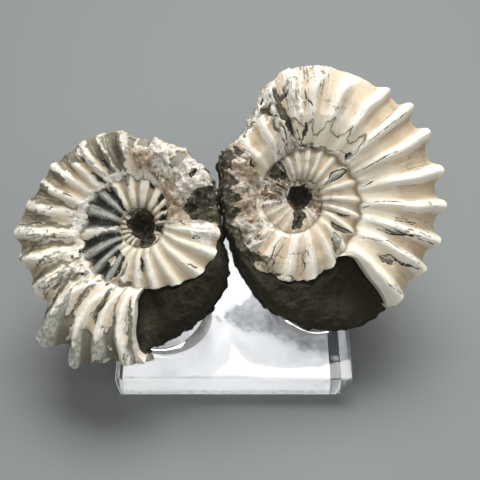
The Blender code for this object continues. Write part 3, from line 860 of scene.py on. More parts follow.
def shell_edge(fossil, settings, degrees):
    """Radius of the shell's rim, length of its knobs, its height and its ribs' height."""
    wave = rib_wave(fossil, degrees, np.zeros_like(degrees))
    strength = curve(fossil["rib_strength"], degrees)
    radius = curve(fossil["shell_radius"], degrees, RADIUS_ROUNDING)
    knob = curve(fossil["knob"], degrees) * radius * ease(wave * KNOB_FULLNESS)
    height = curve(fossil["shell_height"], degrees, HEIGHT_ROUNDING)
    height = height * rim_share(fossil, degrees)
    smooth = curve(fossil["rim_smooth"], degrees)
    rib = settings.rib_height * radius * (wave - RIB_BASE) * strength * (1 - smooth)
    return radius, knob, height, rib


def plain_flank(fossil, degrees, inward, rim_height, top, seam_top):
    """Height of a flank without ribs: up from the rim to the top, then down to the seam."""
    rising = rim_height + (top - rim_height) * np.sin(
        0.5 * math.pi * np.minimum(inward / FLANK_RISE, 1.0))
    start = curve(fossil["fall"], degrees)
    fall = np.clip((inward - start) / (1 - start), 0.0, 1.0)
    rounded = np.sqrt(1 - fall ** 2)
    step = np.sqrt(1 - fall ** STEP_SQUARENESS)
    sloped = STEP_SHARE * step + (1 - STEP_SHARE) * (1 - fall)
    slope = curve(fossil["slope"], degrees)
    falling = seam_top + (top - seam_top) * ((1 - slope) * rounded + slope * sloped)
    return np.where(inward < FLANK_RISE, rising, falling)


def relief(fossil, degrees, inward):
    """Change of height from the fossil's own dents and swellings."""
    total = np.zeros_like(degrees)
    for place, across, change, half_length, half_width in fossil["relief"]:
        along = (degrees - place) / half_length
        aside = (inward - across) / half_width
        total = total + change * np.exp(-along ** 2 - aside ** 2)
    return total * (1 - np.abs(2 * inward - 1) ** 4)


def flank(fossil, settings, degrees, inward, stone):
    """Radius and height over the middle plane of places on a flank."""
    seam, seam_knob, seam_height, seam_rib = shell_edge(fossil, settings, degrees + 360)
    seam_top = seam_height + seam_rib
    rim, knob, rim_height, edge_rib = shell_edge(fossil, settings, degrees)
    stone_rim = curve(fossil["stone_radius"], degrees, STONE_ROUNDING)
    stone_rim = np.maximum(stone_rim, seam + seam_knob)
    stone_top = curve(fossil["stone_height"], degrees, HEIGHT_ROUNDING)
    shell_top = curve(fossil["shell_height"], degrees, HEIGHT_ROUNDING)
    rim = np.where(stone, stone_rim, rim)
    knob = np.where(stone, 0.0, knob)
    top = np.where(stone, stone_top, shell_top)
    rim_height = np.where(stone, stone_top * RIM_SHARE, rim_height)
    edge = rim_height + np.where(stone, 0, edge_rib)

    strength = curve(fossil["rib_strength"], degrees) * ~stone
    near_rim = 1 - ease(inward / RIM_SMOOTH_WIDTH)
    strength = strength * (1 - curve(fossil["rim_smooth"], degrees) * near_rim)
    fade = np.sqrt(1 - inward) * (1 - SEAM_FADE * inward)
    wave = rib_wave(fossil, degrees, inward)
    place, width, depth = GUTTER
    height = plain_flank(fossil, degrees, inward, rim_height, top, seam_top)
    height = height + settings.rib_height * rim * (wave - RIB_BASE) * strength * fade
    height = height - depth * np.exp(-((inward - place) / width) ** 2) * stone
    height = height + relief(fossil, degrees, inward)

    share = ease((rim + knob - seam - seam_knob) / FULL_WIDTH)
    line = edge * (1 - inward) + seam_top * inward
    height = line * (1 - share) + height * share
    edge = np.where(stone, edge * share + seam_top * (1 - share), edge)
    height = np.where(inward <= 0, edge, height)
    height = np.where(inward >= 1, seam_top, height)
    radius = rim + (seam - rim) * inward
    radius = radius + knob * (1 - inward) ** KNOB_FADE + seam_knob * inward ** KNOB_FADE
    return radius, height


def side(fossil, settings, degrees, down, stone, back):
    """Radius and height of places from a rim (0) down to the keel (1)."""
    radius, height = flank(fossil, settings, degrees, np.zeros_like(degrees), stone)
    knob = np.where(stone, 0, shell_edge(fossil, settings, degrees)[1])
    shell_side = np.interp(down, SIDE_DOWN, SIDE_OUT)
    stone_side = 1 + STONE_BULGE * np.sin(math.pi * down)
    beads = np.cos(2 * math.pi * degrees / BEAD_SPACING) * ease((down - BEAD_TOP) / (1 - BEAD_TOP))
    out = (radius - knob) * np.where(stone, stone_side, shell_side)
    out = out + np.where(stone, 0, BEAD_HEIGHT * beads)
    out = out + knob * np.clip(1 - down / KNOB_FOOT, 0, 1) ** 1.5
    return out, height * (1 - down) * (BACK_THICKNESS if back else 1.0)


def patch_scale(fossil, degrees, inward):
    """Millimetres in one degree, and in the whole width of the turn, round a place."""
    table = fossil["stone_radius"] if degrees < 0 else fossil["shell_radius"]
    rim = float(curve(table, degrees))
    seam = float(curve(fossil["shell_radius"], degrees + 360))
    width = max(rim - seam, 1.0)
    return np.array([math.radians(1) * (rim - width * min(max(inward, 0.0), 1.0)), width])


def stroke_taper(run):
    """Width of a stroke along its run, as a share: least at its two ends."""
    return np.sqrt(np.sin(math.pi * (0.08 + 0.84 * run)))


def patch_distance(fossil, degrees, inward, half_width, points):
    """Millimetres inside a patch, below zero outside it."""
    points = np.array(points, dtype=float)
    centre = points.mean(axis=0)
    scale = patch_scale(fossil, *centre)
    places = (np.stack([degrees, inward], axis=1) - centre) * scale
    corners = (points - centre) * scale
    following = np.roll(corners, -1, axis=0)
    if half_width:
        corners, following = corners[:-1], following[:-1]
    nearest = np.full(len(places), 1e9)
    inside = np.zeros(len(places), dtype=bool)
    taper = np.full(len(places), 1.0)
    for number, (one, other) in enumerate(zip(corners, following)):
        edge = other - one
        share = np.clip((places - one) @ edge / max(edge @ edge, 1e-12), 0, 1)
        gap = np.hypot(*(places - one - share[:, None] * edge).T)
        if half_width:
            taper = np.where(gap < nearest, stroke_taper((number + share) / len(corners)), taper)
        elif edge[1] != 0:
            crossing = (one[1] > places[:, 1]) != (other[1] > places[:, 1])
            cut = one[0] + (places[:, 1] - one[1]) * edge[0] / edge[1]
            inside ^= crossing & (places[:, 0] < cut)
        nearest = np.minimum(nearest, gap)
    if half_width:
        return half_width * taper - nearest
    return np.where(inside, nearest, -nearest)


def patch_fields(fossil, patches, degrees, inward):
    """For each kind of patch, millimetres inside it at every place."""
    fields = {kind: np.full(len(degrees), -1.0) for kind in KINDS}
    for kind, half_width, points in patches:
        angles = [point[0] for point in points]
        near = (degrees > min(angles) - PATCH_MARGIN) & (degrees < max(angles) + PATCH_MARGIN)
        distance = patch_distance(fossil, degrees[near], inward[near], half_width, points)
        field = fields[kind.strip("-")]
        if kind.startswith("-"):
            field[near] = np.minimum(field[near], -distance)
        else:
            field[near] = np.maximum(field[near], distance)
    return {kind: np.clip(field, -1.0, 1.0) for kind, field in fields.items()}


def fossil_patches(fossil, back):
    """A kind, half a stroke's width or zero, and the points of every patch on one face."""
    other = RIGHT if fossil is LEFT else LEFT
    source = other if back else fossil
    outlines = [source["areas"]]
    if back:
        outlines.append(fossil["back_areas"])
    areas = [(kind, 0, points) for areas in outlines
             for kind, group in areas.items() for points in group]
    strokes = [(kind, half_width, points) for kind, group in source["strokes"].items()
               for half_width, points in group]
    return areas + strokes


def wandered_fields(fossil, flat, bumps, back):
    """The patches' fields, with edges that wander like a break's. Cracks wander less."""
    patches = fossil_patches(fossil, back)
    degrees = flat["degrees"]
    inward = flat["inward"]
    rim = curve(fossil["shell_radius"], degrees)
    width = rim - curve(fossil["shell_radius"], degrees + 360)
    in_mm = PATCH_WANDER * bumps["medium"] + PATCH_JITTER * bumps["fine"]
    along_mm = PATCH_WANDER * bumps["along"] - PATCH_JITTER * bumps["fine"]
    turned = np.degrees(along_mm / np.maximum(flat["radius"], LEAST_REACH))
    moved = in_mm / np.maximum(width, LEAST_REACH)
    fields = patch_fields(fossil, patches, degrees + turned, inward + moved)
    cracks = [patch for patch in patches if patch[0] == "crack"]
    straight = patch_fields(fossil, cracks, degrees + CRACK_WANDER * turned,
                            inward + CRACK_WANDER * moved)
    fields["crack"] = straight["crack"]
    if back:
        fields["matrix"] = np.maximum(fields["matrix"], np.clip(flat["filled"], -1, 1))
    return fields


def lumps(places, size, octaves=3):
    """Smooth bumps from about -1 to 1, size millimetres apart."""
    return np.array([noise.fractal(Vector(place) / size, 0.8, 2.0, octaves)
                     for place in places])


def facets(places, size):
    """Sharp-edged steps from about -1 to 1, size millimetres apart."""
    return np.array([2.0 * noise.voronoi(Vector(place) / size)[0][0] - 1.0
                     for place in places])


def skin_bumps(places):
    """The bumps that rough places are made of, each read from another part of the noise."""
    return {
        "coarse": lumps(places, 4.0),
        "medium": lumps(places + 90, 1.8),
        "fine": lumps(places + 50, 0.9),
        "along": lumps(places + 20, 1.8),
        "facets": facets(places + 70, 1.8),
    }


def rough(bumps, finish):
    """The height of a finish's bumps at each place."""
    return sum(height * bumps[kind] for kind, height in ROUGHNESS[finish].items())


def blur(values, reach):
    """The mean over a square of the grid, reach lines to each side."""
    for axis in (0, 1):
        margins = [(0, 0), (0, 0)]
        margins[axis] = (reach, reach)
        padded = np.pad(values, margins, "edge")
        shifts = range(2 * reach + 1)
        count = values.shape[axis]
        values = sum(np.take(padded, range(shift, shift + count), axis) for shift in shifts)
        values = values / len(shifts)
    return values


def base_angles(fossil):
    """The stations' even angles, the same folded at the lip, and the lip's station."""
    end = fossil["stone_end"]
    even = np.linspace(end, end + 360, STATIONS + 1)
    lip = int(np.argmin(np.abs(even)))
    angles = even.copy()
    angles[lip - 2:lip + 1] = LIP_FOLD
    return even, angles, lip


def turn_shares(lines):
    """For each line over the turns, from the centre's ring to the rim: its turn and its share."""
    count = np.arange(TURNS * lines, -1, -1)
    turn = np.minimum(count // lines, TURNS - 1)
    return turn, count / lines - turn


def skin_part(degrees, inward, radius, height, base, stone=False, pit=False, filled=0.0):
    """What is known of each place of a part, every value spread over the part's grid."""
    values = {"degrees": degrees, "inward": inward, "radius": radius, "height": height,
              "base": base, "stone": stone, "pit": pit, "filled": filled}
    return {name: np.broadcast_to(value, radius.shape) for name, value in values.items()}


def turns_part(fossil, settings, back, lines):
    """The flanks of the turns, from the innermost ring out to the rim."""
    even, angles, lip = base_angles(fossil)
    turn, share = turn_shares(lines)
    base, inward = np.meshgrid(angles, share, indexing="ij")
    inner, whorl = np.meshgrid(even, turn, indexing="ij")
    outer = whorl == 0
    base = np.where(outer, base, inner)
    bend = ease(1 - np.abs(base) / LIP_DEGREES) * curve(fossil["lip"], inward) * outer
    degrees = base + bend + 360 * whorl
    station = np.arange(len(angles))[:, None]
    stone = (station <= lip - 2) & outer
    radius, height = flank(fossil, settings, degrees, inward, stone)
    folded = (station == lip - 1) & outer
    height = np.where(folded & (inward < 1), height - LIP_DROP, height)
    radius = np.where(folded & (inward <= 0), radius - LIP_DRAW, radius)
    filled = 0.0
    if back:
        fill = FILL_HEIGHT * (1 - FILL_DOME * (radius / FILL_RADIUS) ** 2)
        height = height * BACK_THICKNESS
        filled = (fill - height) * (radius < FILL_RADIUS)
        height = np.where(filled > 0, fill, height)
    return skin_part(degrees, inward, radius, height, base, stone, filled=filled)


def side_part(fossil, settings, back):
    """The side of the rim, down to the keel."""
    _, angles, lip = base_angles(fossil)
    base, down = np.meshgrid(angles, np.arange(1, SIDE_LINES + 1) / SIDE_LINES, indexing="ij")
    degrees = base + ease(1 - np.abs(base) / LIP_DEGREES) * fossil["lip"][0][1]
    stone = np.arange(len(angles))[:, None] <= lip - 2
    radius, height = side(fossil, settings, degrees, down, stone, back)
    return skin_part(degrees, -SIDE_SHARE * down, radius, height, base, stone)


def pit_part(turns, back):
    """The middle, from its centre out to the innermost ring of the turns."""
    share = np.arange(PIT_LINES) / PIT_LINES
    ring_height = turns["height"][:, :1]
    floor = ring_height.mean() - (0.0 if back else PIT_DEPTH)
    height = floor + (ring_height - floor) * ease(share * 1.2 - 0.2)
    return skin_part(turns["degrees"][:, :1], 1.0, turns["radius"][:, :1] * share, height,
                     turns["base"][:, :1], pit=True, filled=1.0 if back else 0.0)


def skin(fossil, settings, back, lines):
    """One face of a fossil as a grid: a row for each station, from the centre to the keel."""
    turns = turns_part(fossil, settings, back, lines)
    parts = [pit_part(turns, back), turns, side_part(fossil, settings, back)]
    return {name: np.hstack([part[name] for part in parts]) for name in turns}


def close_spiral(values, lines):
    """Shuts the strip: its last row runs into its first one, a turn further in."""
    outer = PIT_LINES + (TURNS - 1) * lines
    rim = PIT_LINES + TURNS * lines
    values[0, outer:rim + 1] = values[0, outer]
    source = np.arange(values.shape[1])
    flank_lines = (source >= PIT_LINES) & (source <= rim)
    source = np.where(flank_lines, np.maximum(source - lines, PIT_LINES), source)
    values[-1] = values[0, source]


def surface_lift(fossil, settings, flat, bumps, fields):
    """How far each place of a flank is moved outwards by breaks and rough stone."""
    share = {kind: ease(field / BREAK_EDGE + 0.5) for kind, field in fields.items()}
    broken = np.maximum(share["bare"], share["dark"])
    grainy = np.maximum(np.maximum(share["matrix"], share["crust"]), share["hollow"])
    flaky = share["crust"] + FLAKE_SHARE * share["flake"]
    crumbs = curve(fossil["crumbs"], flat["degrees"])
    lift = LUMP_HEIGHT * bumps["coarse"] - settings.shell_thickness / MM * broken
    lift = lift - CRACK_DEPTH * share["crack"] - LOWER_DEPTH * share["lower"]
    lift = lift + grainy * settings.stone_roughness / MM * bumps["coarse"]
    lift = lift + grainy * rough(bumps, "grainy") + flaky * rough(bumps, "flaky")
    return lift + crumbs * rough(bumps, "crumbled") + flat["stone"] * rough(bumps, "stone")


def edge_push(fossil, flat, bumps, lift):
    """How far each place is moved away from the middle by torn rims and rough sides."""
    degrees = flat["degrees"]
    inward = flat["inward"]
    torn = curve(fossil["ragged"], degrees) * ease(1 - np.abs(inward) / TORN_SHARE)
    inner_torn = curve(fossil["ragged"], degrees + 360) * (degrees < TORN_DEGREES)
    torn = torn + inner_torn * ease(1 - np.abs(1 - inward) / TORN_SHARE)
    above_keel = (inward < 0) * ease((inward + SIDE_SHARE) / 0.08)
    return (torn * rough(bumps, "ragged") + lift * above_keel) * ~flat["pit"]


def skin_data(fossil, flat, bumps, fields, rise):
    """What the shell's material reads at each place."""
    degrees = flat["degrees"]
    inward = flat["inward"]
    ribs = rib_wave(fossil, degrees, np.clip(inward, 0, 1))
    inner_side = ease((inward - 0.25) / 0.5) * (degrees < fossil["stone_end"] + 360)
    hole = fossil["pit_edge"] - flat["radius"] + 0.7 * bumps["medium"] + 0.4 * bumps["fine"]
    data = {
        # cavity: how far a place lies below its neighbours, for painted shade in hollows and
        # painted highlight on ridges
        "cavity": np.clip(blur(rise, CAVITY_REACH) - rise, -1.0, 1.0),
        "wave": ribs * curve(fossil["rib_strength"], degrees),
        "shade": curve(fossil["shade"], degrees) * (1 - SEAM_SHADE * inner_side),
        "crumbs": np.where(flat["pit"], 1.0, curve(fossil["crumbs"], degrees)),
        "wear": curve(fossil["wear"], degrees),
        "stone": np.where(flat["stone"], 1.0, -1.0),
        "pit": np.clip(hole, -1.0, 1.0),
        **fields,
    }
    return {name: values.reshape(rise.shape) for name, values in data.items()}


def skin_grid(name, places, data, growth):
    """A grid of the skin's size, with its corners in place, its attributes and its map."""
    rows, columns = places.shape[:2]
    deselect_all()
    bpy.ops.mesh.primitive_grid_add(x_subdivisions=columns - 1, y_subdivisions=rows - 1,
                                    size=1.0)
    piece = bpy.context.object
    piece.name = name
    mesh = piece.data
    mesh.name = name
    mesh.vertices.foreach_set("co", places.ravel())
    for kind, values in data.items():
        layer = mesh.attributes.new(kind, "FLOAT", "POINT")
        layer.data.foreach_set("value", values.ravel().astype(np.float32))
    corner = np.zeros(len(mesh.loops), dtype=np.int32)
    mesh.loops.foreach_get("vertex_index", corner)
    mesh.uv_layers[0].name = "growth"
    mesh.uv_layers[0].data.foreach_set("uv", growth[corner].ravel())
    mesh.update()
    return piece


def close_skin(piece, outward):
    """Merges the skin's closed rows, points its faces outwards and brings it to metres."""
    mesh = piece.data
    bpy.ops.object.mode_set(mode="EDIT")
    bpy.ops.mesh.select_all(action="SELECT")
    bpy.ops.mesh.remove_doubles(threshold=MERGE)
    bpy.ops.mesh.dissolve_degenerate(threshold=MERGE)
    bpy.ops.mesh.select_all(action="SELECT")
    bpy.ops.mesh.normals_make_consistent(inside=False)
    bpy.ops.object.mode_set(mode="OBJECT")
    mesh.transform(Matrix.Scale(MM, 4))
    normals = np.zeros(len(mesh.polygons) * 3, dtype=np.float32)
    areas = np.zeros(len(mesh.polygons), dtype=np.float32)
    mesh.polygons.foreach_get("normal", normals)
    mesh.polygons.foreach_get("area", areas)
    if areas @ (normals.reshape(-1, 3) @ outward) < 0:
        bpy.ops.object.mode_set(mode="EDIT")
        bpy.ops.mesh.select_all(action="SELECT")
        bpy.ops.mesh.flip_normals()
        bpy.ops.object.mode_set(mode="OBJECT")
    bpy.ops.object.shade_smooth_by_angle(angle=math.radians(SMOOTH_ANGLE))


def stance(fossil):
    """The turn that leans a fossil back and faces it its own way."""
    turn = Matrix.Rotation(math.radians(fossil["turn"]), 3, "Z")
    return turn @ Matrix.Rotation(math.radians(fossil["lean"]), 3, "X")


def fossil_mesh(fossil, settings, back):
    """One face of a fossil, from its middle to its keel."""
    lines = BACK_LINES if back else FRONT_LINES
    direction = -1 if back else 1
    whole = skin(fossil, settings, back, lines)
    shape = whole["radius"].shape
    flat = {name: values.ravel() for name, values in whole.items()}
    radius = flat["radius"]
    angles = np.where(flat["pit"], flat["base"], flat["degrees"])
    heading = np.radians(fossil["heading"] - fossil["grows"] * angles)
    across = np.stack([np.cos(heading), np.sin(heading)], axis=1)
    places = np.column_stack([across * radius[:, None], flat["height"] * direction])

    bumps = skin_bumps(places)
    fields = wandered_fields(fossil, flat, bumps, back)
    lift = surface_lift(fossil, settings, flat, bumps, fields)
    push = edge_push(fossil, flat, bumps, lift)
    pit_lift = PIT_LUMPS * (bumps["medium"] + bumps["fine"]) * np.minimum(radius, 1.0)
    lift = np.where(flat["pit"], pit_lift, lift * (flat["inward"] >= 0))
    places[:, :2] += across * push[:, None]
    places[:, 2] += lift * direction

    places = places.reshape(*shape, 3)
    close_spiral(places, lines)
    data = skin_data(fossil, flat, bumps, fields, places[:, :, 2] * direction)
    for values in data.values():
        close_spiral(values, lines)
    growth = np.stack([flat["degrees"] / GROWTH_DEGREES, flat["inward"]], axis=1)
    turn = np.array(stance(fossil))
    name = fossil["name"] + ("_back" if back else "_front")
    piece = skin_grid(name, places @ turn.T + np.array(fossil["centre"]), data, growth)
    close_skin(piece, turn @ (0, 0, direction))
    return piece


class ShellSheet(Sheet):
    """The fossils' nodes: what each place carries, and the grains that its finishes share."""

    def __init__(self, name, settings):
        super().__init__(name)
        self.paint = settings
        place = self.place()
        growth = self.add("ShaderNodeUVMap", {"uv_map": "growth"})
        ribward = self.add("ShaderNodeMapping", {}, {"Vector": growth, "Scale": ALONG_RIBS})
        coilward = self.add("ShaderNodeMapping", {}, {"Vector": growth, "Scale": ALONG_COIL})
        self.wave = self.attribute("wave")
        self.shade = self.attribute("shade")
        self.wear = self.attribute("wear")
        self.cavity = self.attribute("cavity")
        self.stone = self.attribute("stone").step(-0.1, 0.1)
        self.broad = self.grain(place, BROAD_GRAIN)
        self.small = self.grain(place, SMALL_GRAIN, 4.0)
        self.fine = self.grain(place, FINE_GRAIN, 4.0, 0.65)
        self.specks = self.grain(place, SPECK_GRAIN, 2.0)
        self.streaks = self.grain(ribward, 1.0, 5.0, 0.65)
        self.hatch = self.grain(ribward, 3.0, 2.0, 0.5)
        self.grains = (self.broad, self.small, self.fine, self.streaks)
        self.wobble = (self.small - 0.5) * 0.55 + (self.fine - 0.5) * 0.30
        self.cluster = (self.broad - 0.5) * 0.30 + self.wear * 0.14
        self.worn = (self.streaks * 0.6 + self.small * 0.4 + self.cluster).step(0.655, 0.685)
        self.furrow = self.make_furrow()
        self.foot = self.make_foot()
        self.hairline = self.make_hairline(coilward)

    def make_furrow(self):
        """One between the ribs, and further up them where the furrows are dark."""
        rib = self.wave + (self.small - 0.5) * 0.5 - (self.shade - 0.5) * 0.25
        return 1 - rib.step(0.02, 0.50)

    def make_foot(self):
        """One on a broken line along the foot of each rib."""
        line = self.wave + (self.small - 0.5) * 0.25 - 0.36
        line = 1 - abs(line).step(0.01, 0.06)
        return line * (self.streaks + (self.broad - 0.5) * 0.5).step(0.52, 0.60)

    def make_hairline(self, coilward):
        """One on fine cracks, more of them where the shell is worn."""
        line = self.grain(coilward, 1.0, 3.0) - 0.5 + (self.fine - 0.5) * 0.03
        line = 1 - abs(line).step(0.001, 0.008)
        return line * (self.broad + self.wear * 0.10).step(0.62, 0.68)

    def field(self, kind, wander=1.0):
        """Millimetres inside a kind of patch, with a finely wandering edge."""
        return self.attribute(kind) + self.wobble * wander

    def inside(self, kind, wander=1.0):
        return self.field(kind, wander).step(-0.03, 0.03)


def sound_shell(look):
    """Cream shell, stained. Its crests are whiter, partly a painted highlight; its furrows are tan
    to olive, partly staining and partly painted shade; hollows get painted shade and ridges a
    painted highlight.
    """
    paint = look.paint
    broad, small, fine, streaks = look.grains
    shell = look.mix((broad + streaks * 0.5).step(0.62, 0.95), paint.cream, paint.white)
    # Whiter crests: partly a painted highlight.
    shell = look.mix(look.wave.step(0.6, 0.95) * 0.4, shell, paint.white)
    # Tan, then olive, in the furrows: partly staining, partly painted shade.
    shell = look.mix(look.furrow * look.shade, shell, paint.tan)
    olive = (look.shade + (broad - 0.5) * 1.2 + (streaks - 0.5) * 1.2).step(0.65, 1.15)
    shell = look.mix(look.furrow * olive * 0.9, shell, paint.olive)
    shell = look.mix(streaks.step(0.54, 0.7) * 0.35, shell, paint.tan)
    shell = look.mix((fine * 0.5 + small * 0.5).step(0.48, 0.66) * 0.26, shell, paint.tan)
    # Painted shade in hollows, then a painted highlight on ridges.
    shell = look.mix(look.cavity.step(0.02, 0.30) * 0.55, shell, paint.tan)
    shell = look.mix((0 - look.cavity).step(0.10, 0.40) * 0.6, shell, paint.white)
    shell = look.mix(look.worn * 0.75, shell, paint.olive)
    shell = look.mix((look.specks + look.cluster).step(0.78, 0.82) * 0.8, shell, paint.olive)
    shell = look.mix(look.foot * 0.75, shell, paint.olive)
    return look.mix(look.hairline * 0.8, shell, paint.olive)


def crumbled_shell(look):
    """Brown crystals with white grains and dark gaps."""
    paint = look.paint
    broad, small, fine, _ = look.grains
    crumb = look.mix((small + (fine - 0.5) * 0.5).step(0.44, 0.56), paint.amber, paint.white)
    return look.mix((broad * 0.5 + fine * 0.5).step(0.42, 0.36), crumb, paint.dark)


def crust_colour(look):
    """Pale crust with olive crevices."""
    paint = look.paint
    _, small, fine, streaks = look.grains
    crust = look.mix((fine * 0.6 + small * 0.4).step(0.40, 0.50), paint.tan, paint.white)
    crevice = 1 - (small * 0.6 + streaks * 0.4).step(0.36, 0.42)
    return look.mix(crevice, crust, paint.olive)


def flake_colour(look):
    """White flakes hatched with olive."""
    gap = (look.hatch * 0.7 + look.small * 0.3).step(0.57, 0.62) * 0.9
    return look.mix(gap, look.paint.white, look.paint.olive)


def trough_colour(look):
    """Olive to grey in the widest furrows, darkest in patches: partly the stone's own colour,
    partly painted shade.
    """
    paint = look.paint
    broad, small, _, streaks = look.grains
    trough = look.mix((streaks * 0.7 + small * 0.3).step(0.50, 0.70), paint.olive, paint.bare)
    return look.mix((streaks * 0.5 + broad * 0.5).step(0.50, 0.40) * 0.7, trough, paint.dark)


def matrix_colour(look):
    """Brown grainy stone with olive gaps and white grains."""
    paint = look.paint
    broad, small, _, streaks = look.grains
    matrix = look.mix((streaks * 0.4 + small * 0.6).step(0.38, 0.50), paint.olive, paint.matrix)
    grains = (streaks * 0.3 + small * 0.3 + broad * 0.4).step(0.49, 0.55)
    return look.mix(grains, matrix, paint.white)


def lower_colour(look):
    """The tan to cream layer under the shell's surface."""
    share = (look.streaks * 0.5 + look.broad * 0.5).step(0.28, 0.50)
    return look.mix(share, look.paint.tan, look.paint.cream)


def hollow_colour(look):
    """Dark brown hollows with grey specks."""
    paint = look.paint
    hollow = look.mix((look.broad * 0.5 + look.small * 0.5).step(0.38, 0.66), paint.mouth,
                      paint.olive)
    specks = (look.specks * 0.5 + look.small * 0.5).step(0.56, 0.64) * 0.5
    return look.mix(specks, hollow, paint.bare)


def bare_colour(look):
    """Grey stone where the shell is broken away, mottled and specked, with painted shade in its
    furrows and hollows.
    """
    paint = look.paint
    _, small, fine, streaks = look.grains
    bare = look.mix(small.step(0.35, 0.65) * 0.5, paint.bare, paint.slate)
    bare = look.mix(streaks.step(0.5, 0.75) * 0.25, bare, paint.cream)
    # Painted shade in the furrows.
    bare = look.mix(look.furrow * 0.75, bare, paint.olive)
    bare = look.mix((fine * 0.5 + small * 0.5).step(0.46, 0.60) * 0.5, bare, paint.olive)
    bare = look.mix(look.specks.step(0.60, 0.68) * 0.6, bare, paint.slate)
    # Painted shade in hollows.
    return look.mix(look.cavity.step(0.0, 0.35) * 0.6, bare, paint.olive)


def dark_colour(look):
    """Nearly black stone with slate ribs, the black grooves and slate crests partly painted shade
    and painted highlight, with painted gleams on the crests and grey specks.
    """
    paint = look.paint
    _, small, fine, streaks = look.grains
    # Slate crests over black grooves: partly the stone's own colour, partly painted highlight and
    # shade.
    dark = look.mix((look.wave + (small - 0.5) * 0.6).step(0.28, 0.85) * 0.7, paint.dark,
                    paint.slate)
    # Painted gleams along the crests.
    painted_gleam = (look.wave - 0.6) * 0.9 + (streaks - 0.5) * 1.8 + (fine - 0.5) * 1.0
    dark = look.mix(painted_gleam.step(0.12, 0.42) * 0.85, dark, paint.bare)
    return look.mix((fine * 0.6 + small * 0.4).step(0.57, 0.62) * 0.6, dark, paint.bare)


def pit_colour(look):
    """Dark stone with amber crystals."""
    share = (look.fine * 0.6 + look.small * 0.4).step(0.50, 0.62) * 0.7
    return look.mix(share, look.paint.dark, look.paint.amber)


def mouth_colour(look):
    """The stone past the mouth: olive where it is pale, darkest near the lip partly as painted
    shade, with grey specks.
    """
    paint = look.paint
    pale = (look.shade + (look.broad - 0.5) * 0.8 + (look.small - 0.5) * 0.6).step(0.05, 1.3)
    mouth = look.mix(pale * 0.50, paint.mouth, paint.olive)
    return look.mix(look.specks.step(0.68, 0.74) * look.shade * 0.5, mouth, paint.bare)


def layered_colour(look):
    """The shell's colour, and over it each kind of patch in turn."""
    paint = look.paint
    crumbled = (look.attribute("crumbs") + (look.small - 0.5)).step(0.4, 0.6)
    colour = look.mix(crumbled, sound_shell(look), crumbled_shell(look))
    # Furrow patches: partly the stone's colour, partly painted shade.
    trough = look.field("furrow", 1.4).step(-0.20, 0.15) * 0.95
    colour = look.mix(trough, colour, trough_colour(look))
    # A white rim beside broken shell: partly its fresh edge, partly a painted highlight.
    torn_edge_and_highlight = look.field("bare", 1.3).step(-0.30, -0.05) * 0.7
    colour = look.mix(torn_edge_and_highlight, colour, paint.white)
    lower = look.field("lower", 0.4)
    colour = look.mix(lower.step(-0.03, 0.03), colour, lower_colour(look))
    # An olive line along the lower layer's edge: painted shade at its step.
    outline = 1 - abs(lower).step(0.05, 0.20)
    colour = look.mix(outline * 0.85, colour, paint.olive)
    colour = look.mix(look.inside("flake", 2.0), colour, flake_colour(look))
    colour = look.mix(look.inside("crust", 1.6), colour, crust_colour(look))
    colour = look.mix(look.inside("matrix", 1.6), colour, matrix_colour(look))
    colour = look.mix(look.inside("hollow"), colour, hollow_colour(look))
    colour = look.mix(look.inside("bare", 1.3), colour, bare_colour(look))
    colour = look.mix(look.inside("dark"), colour, dark_colour(look))
    # Painted shade in hollows, stronger where the shell is worn.
    painted_hollow_shade = (look.cavity + (look.small - 0.5) * 0.2).step(0.15, 0.55)
    colour = look.mix(painted_hollow_shade * (look.wear * 0.5 + 0.1), colour, paint.olive)
    colour = look.mix(look.inside("crack", 0.3), colour, paint.dark)
    pit = look.field("pit", 2.0).step(-0.05, 0.05)
    colour = look.mix(pit, colour, pit_colour(look))
    return look.mix(look.stone, colour, mouth_colour(look))


def shell_material(name, settings):
    look = ShellSheet(name, settings)
    bare = look.inside("bare", 1.3)
    dark = look.inside("dark")
    crack = look.inside("crack", 0.3)
    stone = look.stone
    roughness = 0.55 - bare * 0.15 - dark * 0.22 + stone * 0.20
    grit = 0.35 + stone * 0.5 + look.inside("matrix") * 0.7 + look.inside("crust") * 0.7
    normal = look.bump(bare * -1.0 - dark * 0.7 - crack - look.worn * 0.5, BREAK_BUMP)
    normal = look.bump(look.fine * grit - look.hairline * 0.6 - look.foot * 0.5, GRIT_BUMP,
                       normal)
    grain = look.streaks * 0.8 * (1 - stone) + look.small * (0.6 + stone * 0.8)
    normal = look.bump(grain, GRAIN_BUMP, normal)
    return look.finish(Base_Color=layered_colour(look), Roughness=roughness, Normal=normal,
                       Specular_IOR_Level=0.3)


def acrylic_material(name, tint, frosting):
    """Clear plastic, a little frosted all over and hazy in patches."""
    sheet = Sheet(name)
    haze = sheet.grain(sheet.place(), 120.0).step(0.55, 0.8) * 0.03 + frosting
    return sheet.finish(Base_Color=tint, Roughness=haze, Transmission_Weight=1.0,
                        IOR=ACRYLIC_IOR)


